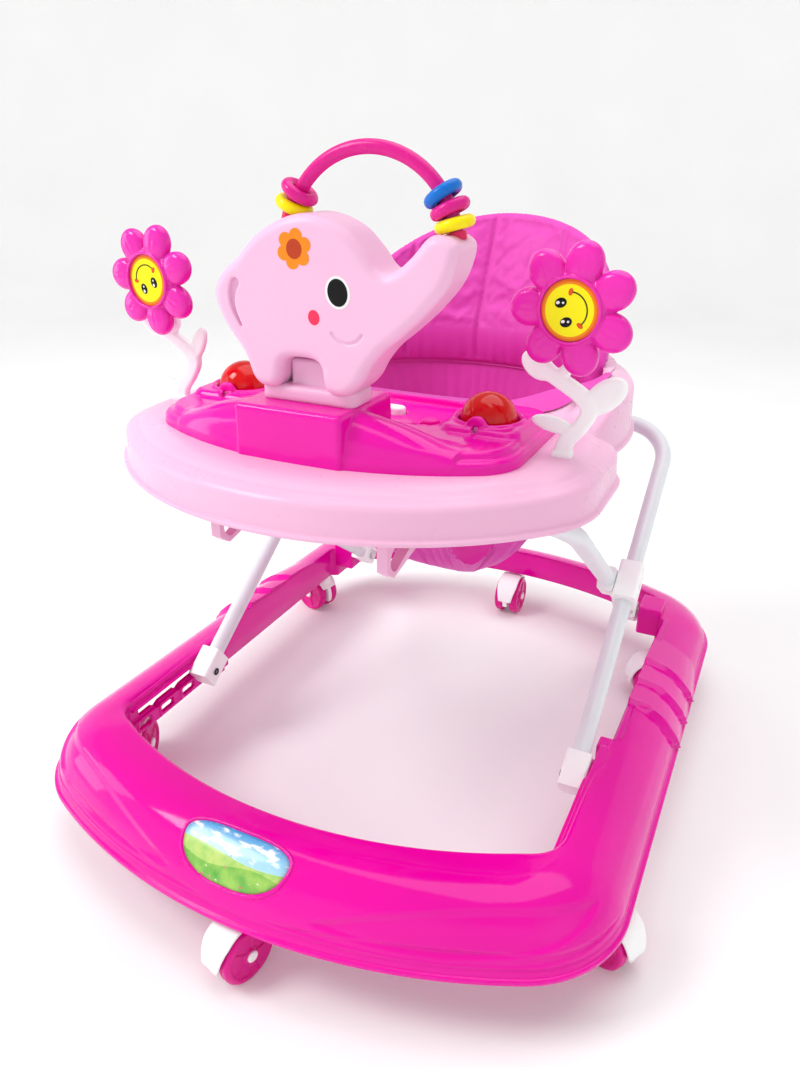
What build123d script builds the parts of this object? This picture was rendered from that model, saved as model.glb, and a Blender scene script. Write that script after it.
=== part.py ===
"""Baby walker: moulded base ring on six twin-wheel casters, scissor tube legs, activity tray and seat.

The frame stands on the floor plane z = 0. +X points right as seen from the front, the front of the
walker faces -Y, and +Z is up. All sizes are millimetres.
"""
import os
from math import acos, cos, radians, sin, sqrt

from build123d import *

os.makedirs("parts", exist_ok=True)

# ---- driving dimensions -------------------------------------------------------------------------
BASE_HALF_WIDTH = 267.0
BASE_FRONT_Y, BASE_REAR_Y = -352.0, 352.0
BASE_FRONT_RADIUS, BASE_REAR_RADIUS = 500.0, 450.0
BASE_FRONT_CORNER, BASE_REAR_CORNER = 95.0, 105.0
BASE_BOTTOM_Z = 56.0
BASE_HEIGHT_MID, BASE_HEIGHT_SLOPE = 45.0, -22.0 / 704.0
BASE_SHOULDER = 49.0          # plan width of the rounded outer shoulder
BASE_WALL = 3.5

OPENING_HALF_WIDTH = 209.0
OPENING_FRONT_Y, OPENING_REAR_Y = -285.0, 303.0
OPENING_FRONT_RADIUS, OPENING_REAR_RADIUS = 390.0, 420.0
OPENING_FRONT_CORNER, OPENING_REAR_CORNER = 34.0, 60.0

WHEEL_RADIUS = 24.5
WHEEL_WIDTH = 11.0
WHEEL_CENTRE = 10.0           # from the caster's middle plane to a wheel's middle
CASTER_TRAIL = 18.0
AXLE_RADIUS, STEM_RADIUS = 2.5, 3.5
RUNNING_GAP = 0.05            # radial clearance of every shaft that turns in a hole

TUBE_RADIUS, TUBE_WALL = 8.0, 1.2
REAR_LEG_X, FRONT_LEG_X = 175.0, 194.0
FOOT_Y, BRACKET_Y, PIVOT_Z = -115.0, 206.0, 90.0
LEG_ANGLE = 35.0              # legs above the floor plane when the walker is up
REAR_LEG_UPPER = 240.0        # rear leg from the crossing to its bar under the tray
FOLD_TRAVEL = 26.0            # degrees that the legs sink when the walker folds
LEG_PIN_RADIUS = 3.0

TRAY_BOTTOM_Z, TRAY_TOP_Z, RING_TOP_Z = 354.0, 388.0, 404.0
TRAY_WALL = 3.0
RING_CENTRE_Y, RING_HALF_X, RING_HALF_Y = 10.0, 184.0, 205.0
SEAT_CENTRE_Y, SEAT_HALF_X, SEAT_HALF_Y = 62.0, 148.0, 118.0

TOY_HALF_X, TOY_FRONT_Y, TOY_REAR_Y = 150.0, -247.0, -72.0
TOY_DECK_Z, RISER_TOP_Z = 400.0, 425.0
BALL_X, BALL_Y, BALL_Z, BALL_RADIUS = 107.0, -137.0, 404.0, 21.0

ELEPHANT_Y, ELEPHANT_THICKNESS, ELEPHANT_ROUND = -210.0, 40.0, 3.0
ARCH_CENTRE_X, ARCH_CENTRE_Z, ARCH_RADIUS, ARCH_TUBE_RADIUS = 47.0, 527.0, 60.0, 4.5

FLOWER_Y, FLOWER_Z, FLOWER_YAW = -146.0, 488.0, -7.0
FACE_RADIUS = 21.0

# ---- worked-out places ---------------------------------------------------------------------------
HALF_LEG = (BRACKET_Y - FOOT_Y) / 2 / cos(radians(LEG_ANGLE))
CROSS_Y = (BRACKET_Y + FOOT_Y) / 2
CROSS_Z = PIVOT_Z + HALF_LEG * sin(radians(LEG_ANGLE))
HINGE_Z = PIVOT_Z + 2 * HALF_LEG * sin(radians(LEG_ANGLE))
REAR_BAR_Y = CROSS_Y - REAR_LEG_UPPER * cos(radians(LEG_ANGLE))
REAR_BAR_Z = CROSS_Z + REAR_LEG_UPPER * sin(radians(LEG_ANGLE))
AXLE_Z = WHEEL_RADIUS


def save(builder, name):
    """Label a finished piece and write it as its own file."""
    builder.part.label = name
    export_step(builder.part, f"parts/{name}.step")


def base_height(y):
    """Height of the base above its bottom edge at a place along Y."""
    return BASE_HEIGHT_MID + BASE_HEIGHT_SLOPE * y


def ring_face(plane, inset, half_width, front_y, front_r, rear_y, rear_r, front_corner, rear_corner):
    """Rounded plan outline with a bowed front and rear, moved inwards by inset."""
    w = half_width - inset
    front_mid, rear_mid = front_y + front_r, rear_y - rear_r
    y_front = front_mid - sqrt((front_r - inset) ** 2 - w**2)
    y_rear = rear_mid + sqrt((rear_r - inset) ** 2 - w**2)
    with BuildSketch(plane) as face:
        with BuildLine():
            ThreePointArc((-w, y_front), (0, front_y + inset), (w, y_front))
            Line((w, y_front), (w, y_rear))
            ThreePointArc((w, y_rear), (0, rear_y - inset), (-w, y_rear))
            Line((-w, y_rear), (-w, y_front))
        make_face()
        fillet(face.vertices().group_by(Axis.Y)[0], front_corner - inset)
        fillet(face.vertices().group_by(Axis.Y)[-1], rear_corner - inset)
    return face.sketch


def base_face(plane, inset=0.0):
    return ring_face(plane, inset, BASE_HALF_WIDTH, BASE_FRONT_Y, BASE_FRONT_RADIUS, BASE_REAR_Y,
                     BASE_REAR_RADIUS, BASE_FRONT_CORNER, BASE_REAR_CORNER)


def opening_face(plane, inset=0.0):
    return ring_face(plane, inset, OPENING_HALF_WIDTH, OPENING_FRONT_Y, OPENING_FRONT_RADIUS,
                     OPENING_REAR_Y, OPENING_REAR_RADIUS, OPENING_FRONT_CORNER, OPENING_REAR_CORNER)


def bumper(skin=0.0, top=1.0):
    """Solid inside the rounded outer skin of the base, moved inwards by skin."""
    with BuildPart() as solid:
        for turn in (0, 20, 38, 54, 68, 80, 90):
            rise = sin(radians(turn)) * top
            inset = 3 + skin + BASE_SHOULDER * (1 - cos(radians(turn)))
            level = Plane(
                origin=(0, 0, BASE_BOTTOM_Z + rise * (BASE_HEIGHT_MID - skin)),
                x_dir=(1, 0, 0),
                z_dir=(0, -rise * BASE_HEIGHT_SLOPE, 1),
            )
            with BuildSketch(level):
                add(base_face(Plane.XY, inset))
        loft()
    return solid.part


# ---- base ring ------------------------------------------------------------------------------------
CASTERS = {
    "front_centre": (0, -322, 76),
    "front_right": (236, -194, 150),
    "front_left": (-236, -194, -70),
    "rear_right": (228, 190, 31),
    "rear_left": (-228, 190, -16),
    "rear_centre": (0, 320, 90),
}
SLOT_FRONT_Y, SLOT_REAR_Y, SLOT_HEIGHT = -205.0, -105.0, 9.0
GUIDE_FRONT_Y, GUIDE_REAR_Y = -216.0, -82.0
SOCKET_RADIUS, SOCKET_TOP_Z = 9.0, 80.0

DECAL_PLANE = Plane(origin=(0, -334, 92), x_dir=(1, 0, 0), z_dir=(0, -1, 1))


def decal_prism(margin):
    """Rounded label outline, wider at the top, pushed through the front of the bumper."""
    with BuildPart() as prism:
        with BuildSketch(DECAL_PLANE) as label:
            with BuildLine():
                Polyline((-49, 20), (49, 20), (34, -22), (-34, -22), close=True)
            make_face()
            fillet(label.vertices().group_by(Axis.Y)[-1], 12)
            fillet(label.vertices().group_by(Axis.Y)[0], 15)
            offset(amount=margin)
        extrude(amount=20, both=True)
    return prism.part


with BuildPart() as decal_plate:
    add(bumper())
    add(bumper(1.2), mode=Mode.SUBTRACT)
    add(decal_prism(0), mode=Mode.INTERSECT)
save(decal_plate, "front_decal_plate")

with BuildPart() as scale_pads:
    # three overlapping scales on the outside of each rear side rail
    for side in (1, -1):
        for y in (20, 62, 104):
            with BuildSketch(Plane(origin=(side * 225, y, 74), x_dir=(0, 1, 0), z_dir=(1, 0, 0))):
                Circle(27)
            extrude(amount=side * 60)
    add(bumper(-2), mode=Mode.INTERSECT)

with BuildPart() as socket_posts:
    for x, y, _ in CASTERS.values():
        with BuildSketch(Plane(origin=(x, y, BASE_BOTTOM_Z))):
            Circle(SOCKET_RADIUS)
        extrude(amount=BASE_HEIGHT_MID)
    add(bumper(1), mode=Mode.INTERSECT)

with BuildPart() as base:
    add(bumper())
    with BuildSketch(Plane.XY.offset(BASE_BOTTOM_Z)):
        add(base_face(Plane.XY))
    extrude(amount=5)
    add(scale_pads.part)
    # the open middle that the child stands in
    with BuildSketch(Plane.XY.offset(BASE_BOTTOM_Z - 5)):
        add(opening_face(Plane.XY))
    extrude(amount=80, mode=Mode.SUBTRACT)
    # hollow underside
    with BuildPart(mode=Mode.PRIVATE) as hollow:
        add(bumper(BASE_WALL + 1))
        with BuildSketch(Plane.XY.offset(BASE_BOTTOM_Z)):
            add(base_face(Plane.XY, 7))
        extrude(amount=-2)
        with BuildSketch(Plane.XY.offset(BASE_BOTTOM_Z - 5)):
            add(opening_face(Plane.XY, -BASE_WALL))
        extrude(amount=80, mode=Mode.SUBTRACT)
    add(hollow.part, mode=Mode.SUBTRACT)
    add(socket_posts.part)
    for x, y, _ in CASTERS.values():
        with BuildSketch(Plane(origin=(x, y, BASE_BOTTOM_Z))):
            Circle(STEM_RADIUS + RUNNING_GAP)
        extrude(amount=SOCKET_TOP_Z - BASE_BOTTOM_Z, mode=Mode.SUBTRACT)
    for side in (1, -1):
        # slotted guide wall for the front foot, with a stop block behind it
        with Locations((side * 209, (GUIDE_FRONT_Y + GUIDE_REAR_Y) / 2, 84)):
            Box(4, GUIDE_REAR_Y - GUIDE_FRONT_Y, 38)
        with Locations((side * 209, GUIDE_REAR_Y + 8, 86)):
            Box(10, 16, 42)
        with Locations((side * 207, (SLOT_FRONT_Y + SLOT_REAR_Y) / 2, PIVOT_Z)):
            Box(16, SLOT_REAR_Y - SLOT_FRONT_Y, SLOT_HEIGHT, mode=Mode.SUBTRACT)
        for y in (FOOT_Y, -148, -181):
            with Locations(Location((side * 207, y, PIVOT_Z - 3), (0, 90, 0))):
                Cylinder(4.3, 16, mode=Mode.SUBTRACT)
        # box bracket that carries the rear leg's pivot
        with Locations((side * 200, BRACKET_Y + 2, 87)):
            Box(26, 36, 34)
        with Locations(Location((side * 190, BRACKET_Y, PIVOT_Z), (0, 90, 0))):
            Cylinder(LEG_PIN_RADIUS + 1, 60, mode=Mode.SUBTRACT)
    add(decal_plate.part, mode=Mode.SUBTRACT)
save(base, "base_ring")

with BuildPart() as rear_pins:
    for side in (1, -1):
        with Locations(Location((side * 189, BRACKET_Y, PIVOT_Z), (0, 90, 0))):
            Cylinder(LEG_PIN_RADIUS + 1, 48)
        with Locations(Location((side * 163.6, BRACKET_Y, PIVOT_Z), (0, 90, 0))):
            Cylinder(6, 2.8)
save(rear_pins, "rear_pivot_pins")

# ---- casters --------------------------------------------------------------------------------------
# Each is modelled along its own +X, with the swivel axis at the origin and the axle behind it.
AXLE_X = -CASTER_TRAIL
FENDER_INNER, FENDER_OUTER = WHEEL_RADIUS + 1.2, WHEEL_RADIUS + 3.7
STEM_TOP_Z = SOCKET_TOP_Z - 2

with BuildPart() as hood_shape:
    # fender over the wheels' tops
    with BuildSketch(Plane.XZ) as fender:
        with Locations((AXLE_X, AXLE_Z)):
            Circle(FENDER_OUTER)
            Circle(FENDER_INNER, mode=Mode.SUBTRACT)
        with Locations((AXLE_X, AXLE_Z)):
            Rectangle(2 * FENDER_OUTER + 2, 2 * FENDER_OUTER, align=(Align.CENTER, Align.MAX),
                      mode=Mode.SUBTRACT)
    extrude(amount=14, both=True)
    fillet(hood_shape.faces().sort_by(Axis.Z)[-1].edges().filter_by(GeomType.CIRCLE), 2)
    # web between the wheels that carries the axle
    with BuildSketch(Plane.XZ) as web:
        with Locations((AXLE_X, AXLE_Z)):
            Circle(FENDER_INNER + 1)
        with Locations((AXLE_X, AXLE_Z - 7)):
            Rectangle(80, 80, align=(Align.CENTER, Align.MAX), mode=Mode.SUBTRACT)
    extrude(amount=3, both=True)
    with Locations((0, 0, 47.8)):
        Cylinder(6.5, 6.5, align=(Align.CENTER, Align.CENTER, Align.MIN))
    with Locations((-1, 0, 26)):
        Box(15, 6, 24, align=(Align.CENTER, Align.CENTER, Align.MIN))
    with Locations((0, 0, 40)):
        Cylinder(STEM_RADIUS, 30, align=(Align.CENTER, Align.CENTER, Align.MIN), mode=Mode.SUBTRACT)
    with Locations(Location((AXLE_X, 0, AXLE_Z), (90, 0, 0))):
        Cylinder(AXLE_RADIUS, 20, mode=Mode.SUBTRACT)

with BuildPart() as pins_shape:
    with Locations((0, 0, 40)):
        Cylinder(STEM_RADIUS, STEM_TOP_Z - 40, align=(Align.CENTER, Align.CENTER, Align.MIN))
    with Locations(Location((AXLE_X, 0, AXLE_Z), (90, 0, 0))):
        Cylinder(AXLE_RADIUS, 2 * (WHEEL_CENTRE + WHEEL_WIDTH / 2) + 1)
    for side in (1, -1):
        with Locations(Location((AXLE_X, side * (WHEEL_CENTRE + WHEEL_WIDTH / 2 + 0.7), AXLE_Z), (90, 0, 0))):
            Cylinder(4, 1)

with BuildPart() as wheels_shape:
    for side in (1, -1):
        middle = side * WHEEL_CENTRE
        with BuildSketch(Plane.XY) as half_section:
            with Locations((AXLE_X, middle)):
                Rectangle(WHEEL_RADIUS, WHEEL_WIDTH, align=(Align.MIN, Align.CENTER))
            rim = half_section.vertices().sort_by(Axis.X)[-2:]
            fillet(rim, 3)
            # dished faces between hub and rim
            with Locations((AXLE_X + 7, middle + side * WHEEL_WIDTH / 2)):
                Rectangle(11, 4, align=(Align.MIN, Align.CENTER), mode=Mode.SUBTRACT)
            with Locations((AXLE_X, middle)):
                Rectangle(2 * (AXLE_RADIUS + RUNNING_GAP), WHEEL_WIDTH + 2, mode=Mode.SUBTRACT)
        revolve(axis=Axis((AXLE_X, 0, 0), (0, 1, 0)))
WHEELS = wheels_shape.part.moved(Location((0, 0, AXLE_Z)))

for place, (x, y, yaw) in CASTERS.items():
    spot = Location((x, y, 0), (0, 0, yaw))
    for shape, piece in ((hood_shape.part, "hood"), (pins_shape.part, "pins"), (WHEELS, "wheels")):
        with BuildPart() as caster_piece:
            with Locations(spot):
                add(shape)
        save(caster_piece, f"caster_{place}_{piece}")

# ---- scissor legs ---------------------------------------------------------------------------------


def leg_point(start_y, direction, distance):
    """Point on a leg at a distance from its low end, as (y, z); direction is +1 to the rear."""
    angle = radians(LEG_ANGLE)
    return start_y + direction * distance * cos(angle), PIVOT_Z + distance * sin(angle)


def u_tube(leg_x, low_y, direction, low_gap, top_y, top_z, corner):
    """U-shaped tube frame: two legs that rise from low_y and a cross bar between their tops."""
    y0, z0 = leg_point(low_y, direction, low_gap)
    with BuildPart() as tube:
        with BuildLine() as path:
            FilletPolyline((-leg_x, y0, z0), (-leg_x, top_y, top_z), (leg_x, top_y, top_z), (leg_x, y0, z0),
                           radius=corner)
        with BuildSketch(Plane(origin=path.line @ 0, z_dir=path.line % 0)):
            Circle(TUBE_RADIUS)
            Circle(TUBE_RADIUS - TUBE_WALL, mode=Mode.SUBTRACT)
        sweep()
        for side in (1, -1):
            with Locations(Location((side * leg_x, CROSS_Y, CROSS_Z), (0, 90, 0))):
                Cylinder(LEG_PIN_RADIUS, 24, mode=Mode.SUBTRACT)
    return tube


def leg_blocks(leg_x, low_y, direction, along, size, tube_end, pin_radius, cross=0.0):
    """A pair of moulded blocks on the legs' low ends, or round the tubes when cross is their place."""
    with BuildPart() as blocks:
        for side in (1, -1):
            y, z = leg_point(low_y, direction, cross + along)
            tilt = Plane(origin=(side * leg_x, y, z), x_dir=(1, 0, 0),
                         z_dir=(0, direction * cos(radians(LEG_ANGLE)), sin(radians(LEG_ANGLE))))
            with BuildSketch(tilt) as section:
                Rectangle(*size[:2])
                fillet(section.vertices(), 3)
            extrude(amount=size[2] / 2, both=True)
            with BuildSketch(tilt.offset(tube_end)):
                Circle(TUBE_RADIUS)
            extrude(amount=size[2] + 8, mode=Mode.SUBTRACT)
            py, pz = leg_point(low_y, direction, cross)
            with Locations(Location((side * leg_x, py, pz), (0, 90, 0))):
                Cylinder(pin_radius, 60, mode=Mode.SUBTRACT)
    return blocks


rear_leg = u_tube(REAR_LEG_X, BRACKET_Y, -1, 12, REAR_BAR_Y, REAR_BAR_Z, 58)
save(rear_leg, "rear_leg_tube")
front_leg = u_tube(FRONT_LEG_X, FOOT_Y, 1, 12, BRACKET_Y, HINGE_Z, 48)
save(front_leg, "front_leg_tube")

rear_ends = leg_blocks(REAR_LEG_X, BRACKET_Y, -1, 4, (19, 22, 32), 8, LEG_PIN_RADIUS + 1 + RUNNING_GAP)
save(rear_ends, "rear_leg_end_blocks")
feet = leg_blocks(FRONT_LEG_X, FOOT_Y, 1, 4, (22, 25, 32), 8, LEG_PIN_RADIUS + 1)
save(feet, "front_leg_feet")

with BuildPart() as foot_pins:
    for side in (1, -1):
        with Locations(Location((side * 198.5, FOOT_Y, PIVOT_Z), (0, 90, 0))):
            Cylinder(LEG_PIN_RADIUS + 1, 33)
        with Locations(Location((side * 214.5, FOOT_Y, PIVOT_Z), (0, 90, 0))):
            Cylinder(6.5, 2)
save(foot_pins, "front_foot_pins")

rear_clips = leg_blocks(REAR_LEG_X, BRACKET_Y, -1, 0, (15.4, 24, 30), -16, LEG_PIN_RADIUS + RUNNING_GAP,
                        HALF_LEG)
save(rear_clips, "crossing_cradles")
front_sleeves = leg_blocks(FRONT_LEG_X, FOOT_Y, 1, 0, (22, 26, 40), -21, LEG_PIN_RADIUS, HALF_LEG)
save(front_sleeves, "crossing_sleeves")

with BuildPart() as cross_pins:
    for side in (1, -1):
        with Locations(Location((side * 185, CROSS_Y, CROSS_Z), (0, 90, 0))):
            Cylinder(LEG_PIN_RADIUS, 38)
        with Locations(Location((side * 165.8, CROSS_Y, CROSS_Z), (0, 90, 0))):
            Cylinder(5.5, 2)
save(cross_pins, "crossing_pins")

# ---- tray -----------------------------------------------------------------------------------------
TRAY_FRONT_Y, TRAY_FRONT_RADIUS, TRAY_SIDE_X, TRAY_CORNER = -293.0, 235.0, 200.0, 80.0
TRAY_BACK_Y = -58.0
CORNER_X = TRAY_SIDE_X - TRAY_CORNER
CORNER_Y = TRAY_FRONT_Y + TRAY_FRONT_RADIUS - sqrt((TRAY_FRONT_RADIUS - TRAY_CORNER) ** 2 - CORNER_X**2)


def tray_front_face(plane, inset=0.0):
    """D-shaped front of the tray."""
    mid_y = TRAY_FRONT_Y + TRAY_FRONT_RADIUS
    r, c = TRAY_FRONT_RADIUS - inset, TRAY_CORNER - inset
    lean = acos((mid_y - CORNER_Y) / (TRAY_FRONT_RADIUS - TRAY_CORNER))
    join_x, join_y = r * sin(lean), mid_y - r * cos(lean)
    side, half = TRAY_SIDE_X - inset, (radians(90) + lean) / 2
    mid_x, corner_y = CORNER_X + c * sin(half), CORNER_Y - c * cos(half)
    with BuildSketch(plane) as face:
        with BuildLine():
            ThreePointArc((-join_x, join_y), (0, TRAY_FRONT_Y + inset), (join_x, join_y))
            ThreePointArc((join_x, join_y), (mid_x, corner_y), (side, CORNER_Y))
            Polyline((side, CORNER_Y), (side, TRAY_BACK_Y - inset), (-side, TRAY_BACK_Y - inset), (-side, CORNER_Y))
            ThreePointArc((-side, CORNER_Y), (-mid_x, corner_y), (-join_x, join_y))
        make_face()
        fillet(face.vertices().group_by(Axis.Y)[-1], 42 - inset)
    return face.sketch


def tray_face(plane, inset=0.0):
    """Whole outline of the tray: the D-shaped front and the oval ring round the seat."""
    with BuildSketch(plane) as face:
        add(tray_front_face(Plane.XY, inset))
        with Locations((0, RING_CENTRE_Y)):
            Ellipse(RING_HALF_X - inset, RING_HALF_Y - inset)
    return face.sketch


def seat_opening(grow=0.0):
    with BuildSketch(mode=Mode.PRIVATE) as face:
        with Locations((0, SEAT_CENTRE_Y)):
            Ellipse(SEAT_HALF_X + grow, SEAT_HALF_Y + grow)
    return face.sketch


def toy_face(inset=0.0):
    """Outline of the toy tray: bowed front, straight rear, rounded corners."""
    w, front, rear = TOY_HALF_X - inset, TOY_FRONT_Y + inset, TOY_REAR_Y - inset
    with BuildSketch(mode=Mode.PRIVATE) as face:
        with BuildLine():
            ThreePointArc((-w, front + 62), (0, front), (w, front + 62))
            Line((w, front + 62), (w, rear))
            Line((w, rear), (-w, rear))
            Line((-w, rear), (-w, front + 62))
        make_face()
        fillet(face.vertices(), 32 - inset)
    return face.sketch


RISER_Y, RISER_WIDTH, RISER_DEPTH = -205.0, 84.0, 80.0
PANEL_Z = 392.0

with BuildPart() as tray:
    with BuildSketch(Plane.XY.offset(TRAY_BOTTOM_Z)):
        add(tray_face(Plane.XY))
    extrude(amount=3)
    with BuildSketch(Plane.XY.offset(TRAY_BOTTOM_Z)):
        add(tray_face(Plane.XY, 2.5))
    extrude(amount=TRAY_TOP_Z - TRAY_BOTTOM_Z)
    fillet(tray.faces().sort_by(Axis.Z)[-1].edges(), 14)
    # raised ring round the seat
    with BuildSketch(Plane.XY.offset(TRAY_TOP_Z - 16)) as ring_plan:
        with Locations((0, RING_CENTRE_Y)):
            Ellipse(RING_HALF_X - 4, RING_HALF_Y - 4)
        with Locations((0, -160)):
            Rectangle(500, 200, mode=Mode.SUBTRACT)
    extrude(amount=RING_TOP_Z - TRAY_TOP_Z + 16)
    fillet(tray.faces().sort_by(Axis.Z)[-1].edges(), 12)
    # hollow underside
    with BuildSketch(Plane.XY.offset(TRAY_BOTTOM_Z)):
        add(tray_face(Plane.XY, TRAY_WALL + 3))
    extrude(amount=14, mode=Mode.SUBTRACT)
    with BuildSketch(Plane.XY.offset(TRAY_BOTTOM_Z)):
        add(tray_face(Plane.XY, TRAY_WALL + 12))
    extrude(amount=TRAY_TOP_Z - TRAY_BOTTOM_Z - TRAY_WALL, mode=Mode.SUBTRACT)
    # opening for the seat, with an inner skirt
    with BuildSketch(Plane.XY.offset(TRAY_BOTTOM_Z)):
        add(seat_opening(TRAY_WALL))
    extrude(amount=TRAY_TOP_Z - TRAY_BOTTOM_Z)
    with BuildSketch(Plane.XY.offset(TRAY_BOTTOM_Z)):
        add(seat_opening())
    extrude(amount=80, mode=Mode.SUBTRACT)
    with BuildSketch(Plane.XY.offset(TRAY_TOP_Z - TRAY_WALL - 1)):
        with Locations((0, RING_CENTRE_Y)):
            Ellipse(RING_HALF_X - 17, RING_HALF_Y - 17)
        add(seat_opening(TRAY_WALL), mode=Mode.SUBTRACT)
        with Locations((0, -150)):
            Rectangle(500, 200, mode=Mode.SUBTRACT)
    extrude(amount=RING_TOP_Z - TRAY_TOP_Z, mode=Mode.SUBTRACT)
    # opening under the riser for the music unit, and room for the rattle balls' cups
    with Locations((0, RISER_Y, TRAY_TOP_Z)):
        Box(76, 76, 12, mode=Mode.SUBTRACT)
    with Locations((BALL_X, BALL_Y, TRAY_TOP_Z), (-BALL_X, BALL_Y, TRAY_TOP_Z)):
        Cylinder(19, 12, mode=Mode.SUBTRACT)
    # sockets for the flower stems
    for x in (166, -166):
        with Locations((x, FLOWER_Y, TRAY_TOP_Z - 6)):
            Box(9, 7, 30, mode=Mode.SUBTRACT)
save(tray, "tray_shell")

with BuildPart() as hinge_blocks:
    for x in (40, -40):
        with Locations((x, 186.5, 368)):
            Box(16, 10, 33)
        with Locations((x, 202, 328)):
            Box(16, 32, 50)
    with Locations(Location((0, BRACKET_Y, HINGE_Z), (0, 90, 0))):
        Cylinder(TUBE_RADIUS + RUNNING_GAP, 120, mode=Mode.SUBTRACT)
save(hinge_blocks, "tray_hinge_blocks")


def bar_in_tray(angle):
    """Place of the rear leg's bar under the tray at a leg angle, seen from the tray: (y, z)."""
    lean = radians(angle)
    y = BRACKET_Y - (HALF_LEG + REAR_LEG_UPPER) * cos(lean)
    z = HINGE_Z + (REAR_LEG_UPPER - HALF_LEG) * sin(lean)
    return y, z


RACK_SLOT_PLAY = 3.0

with BuildPart() as racks:
    # plates whose curved slot carries the rear leg's bar at every height
    up, low = bar_in_tray(LEG_ANGLE), bar_in_tray(LEG_ANGLE - FOLD_TRAVEL)
    middle = bar_in_tray(LEG_ANGLE - FOLD_TRAVEL / 2)
    for x in (70, -70):
        with BuildSketch(Plane(origin=(x, 0, 0), x_dir=(0, 1, 0), z_dir=(1, 0, 0))) as plate:
            with BuildLine():
                Polyline((low[0] - 15, 384.8), (up[0] + 16, 384.8), (up[0] + 16, up[1] - 12), (up[0], up[1] - 16),
                         (low[0] - 4, low[1] - 14), (low[0] - 15, low[1] - 6), close=True)
            make_face()
            fillet(plate.vertices().group_by(Axis.Y)[0], 3)
            with BuildLine(mode=Mode.PRIVATE) as slot_line:
                ThreePointArc(low, middle, up)
            SlotArc(slot_line.edge(), 2 * TUBE_RADIUS + RACK_SLOT_PLAY, mode=Mode.SUBTRACT)
        extrude(amount=4, both=True)
save(racks, "tray_height_racks")

# ---- toy tray -------------------------------------------------------------------------------------
BUTTONS = {"1": (44, -146), "2": (61, -152), "3": (58, -131)}
SWITCH = (15, -113)
BUTTON_RADIUS, BUTTON_TRAVEL = 7.0, 2.0
BALL_CUP = BALL_RADIUS + 1.2

with BuildPart() as toy_tray:
    with BuildSketch(Plane.XY.offset(TRAY_TOP_Z)):
        add(toy_face())
    extrude(amount=TOY_DECK_Z - TRAY_TOP_Z, taper=14)
    fillet(toy_tray.faces().sort_by(Axis.Z)[-1].edges(), 4)
    # riser that the elephant stands on
    with BuildSketch(Plane.XY.offset(TRAY_TOP_Z)) as riser:
        with Locations((0, RISER_Y)):
            Rectangle(RISER_WIDTH, RISER_DEPTH)
        fillet(riser.vertices(), 5)
    extrude(amount=RISER_TOP_Z - TRAY_TOP_Z, taper=1)
    # ridges that run down from the riser to the ball pods
    for side in (1, -1):
        with BuildSketch(Plane(origin=(0, -194, 0), x_dir=(1, 0, 0), z_dir=(0, -1, 0))) as ridge:
            with BuildLine():
                Polyline((side * 38, RISER_TOP_Z - 5), (side * 38, TRAY_TOP_Z + 2),
                         (side * 132, TRAY_TOP_Z + 2), (side * 122, TOY_DECK_Z + 4), close=True)
            make_face()
        extrude(amount=34)
        with BuildSketch(Plane.XY.offset(TRAY_TOP_Z)):
            with Locations((side * (BALL_X + 4), BALL_Y)):
                Circle(36)
        extrude(amount=TOY_DECK_Z + 4 - TRAY_TOP_Z, taper=10)
        # cup, ears and pocket for the rattle ball
        with Locations((side * BALL_X, BALL_Y, BALL_Z)):
            Sphere(BALL_CUP + 1.6)
        with Locations((side * BALL_X, BALL_Y, BALL_Z)):
            Cylinder(BALL_CUP + 6, 60, align=(Align.CENTER, Align.CENTER, Align.MIN), mode=Mode.SUBTRACT)
        for end in (1, -1):
            with Locations(Location((side * BALL_X, BALL_Y + end * 25.4, BALL_Z + 1), (90, 0, 0))):
                Cylinder(7.5, 5)
            with Locations((side * BALL_X, BALL_Y + end * 25.4, BALL_Z - 5)):
                Box(15, 5, 12)
        with Locations((side * BALL_X, BALL_Y, BALL_Z)):
            Sphere(BALL_CUP, mode=Mode.SUBTRACT)
        with Locations(Location((side * BALL_X, BALL_Y, BALL_Z), (90, 0, 0))):
            Cylinder(2, 80, mode=Mode.SUBTRACT)
    # sunken play panel with button wells
    with BuildSketch(Plane.XY.offset(PANEL_Z)) as panel:
        with Locations((0, -123)):
            Rectangle(144, 78)
        fillet(panel.vertices(), 10)
    extrude(amount=20, mode=Mode.SUBTRACT)
    with Locations(*[(x, y, PANEL_Z) for x, y in BUTTONS.values()]):
        Cylinder(BUTTON_RADIUS + 0.5, 12, mode=Mode.SUBTRACT)
    with BuildSketch(Plane.XY.offset(TRAY_TOP_Z - 1)):
        with Locations(SWITCH):
            SlotOverall(27, 13)
    extrude(amount=10, mode=Mode.SUBTRACT)
    # room inside the riser for the music unit
    with Locations((0, RISER_Y, TRAY_TOP_Z)):
        Box(RISER_WIDTH - 10, RISER_DEPTH - 10, RISER_TOP_Z - TRAY_TOP_Z - 3,
            align=(Align.CENTER, Align.CENTER, Align.MIN), mode=Mode.SUBTRACT)
save(toy_tray, "toy_tray")

for name, (x, y) in BUTTONS.items():
    with BuildPart() as button:
        with Locations((x, y, PANEL_Z - 1.2)):
            Cylinder(BUTTON_RADIUS, 6, align=(Align.CENTER, Align.CENTER, Align.MIN))
        fillet(button.faces().sort_by(Axis.Z)[-1].edges(), 2.5)
    save(button, f"music_button_{name}")

with BuildPart() as switch:
    with BuildSketch(Plane.XY.offset(PANEL_Z - 1.2)):
        with Locations(SWITCH):
            SlotOverall(26, 12)
    extrude(amount=6.5)
    fillet(switch.faces().sort_by(Axis.Z)[-1].edges(), 2)
save(switch, "oval_switch")

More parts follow.
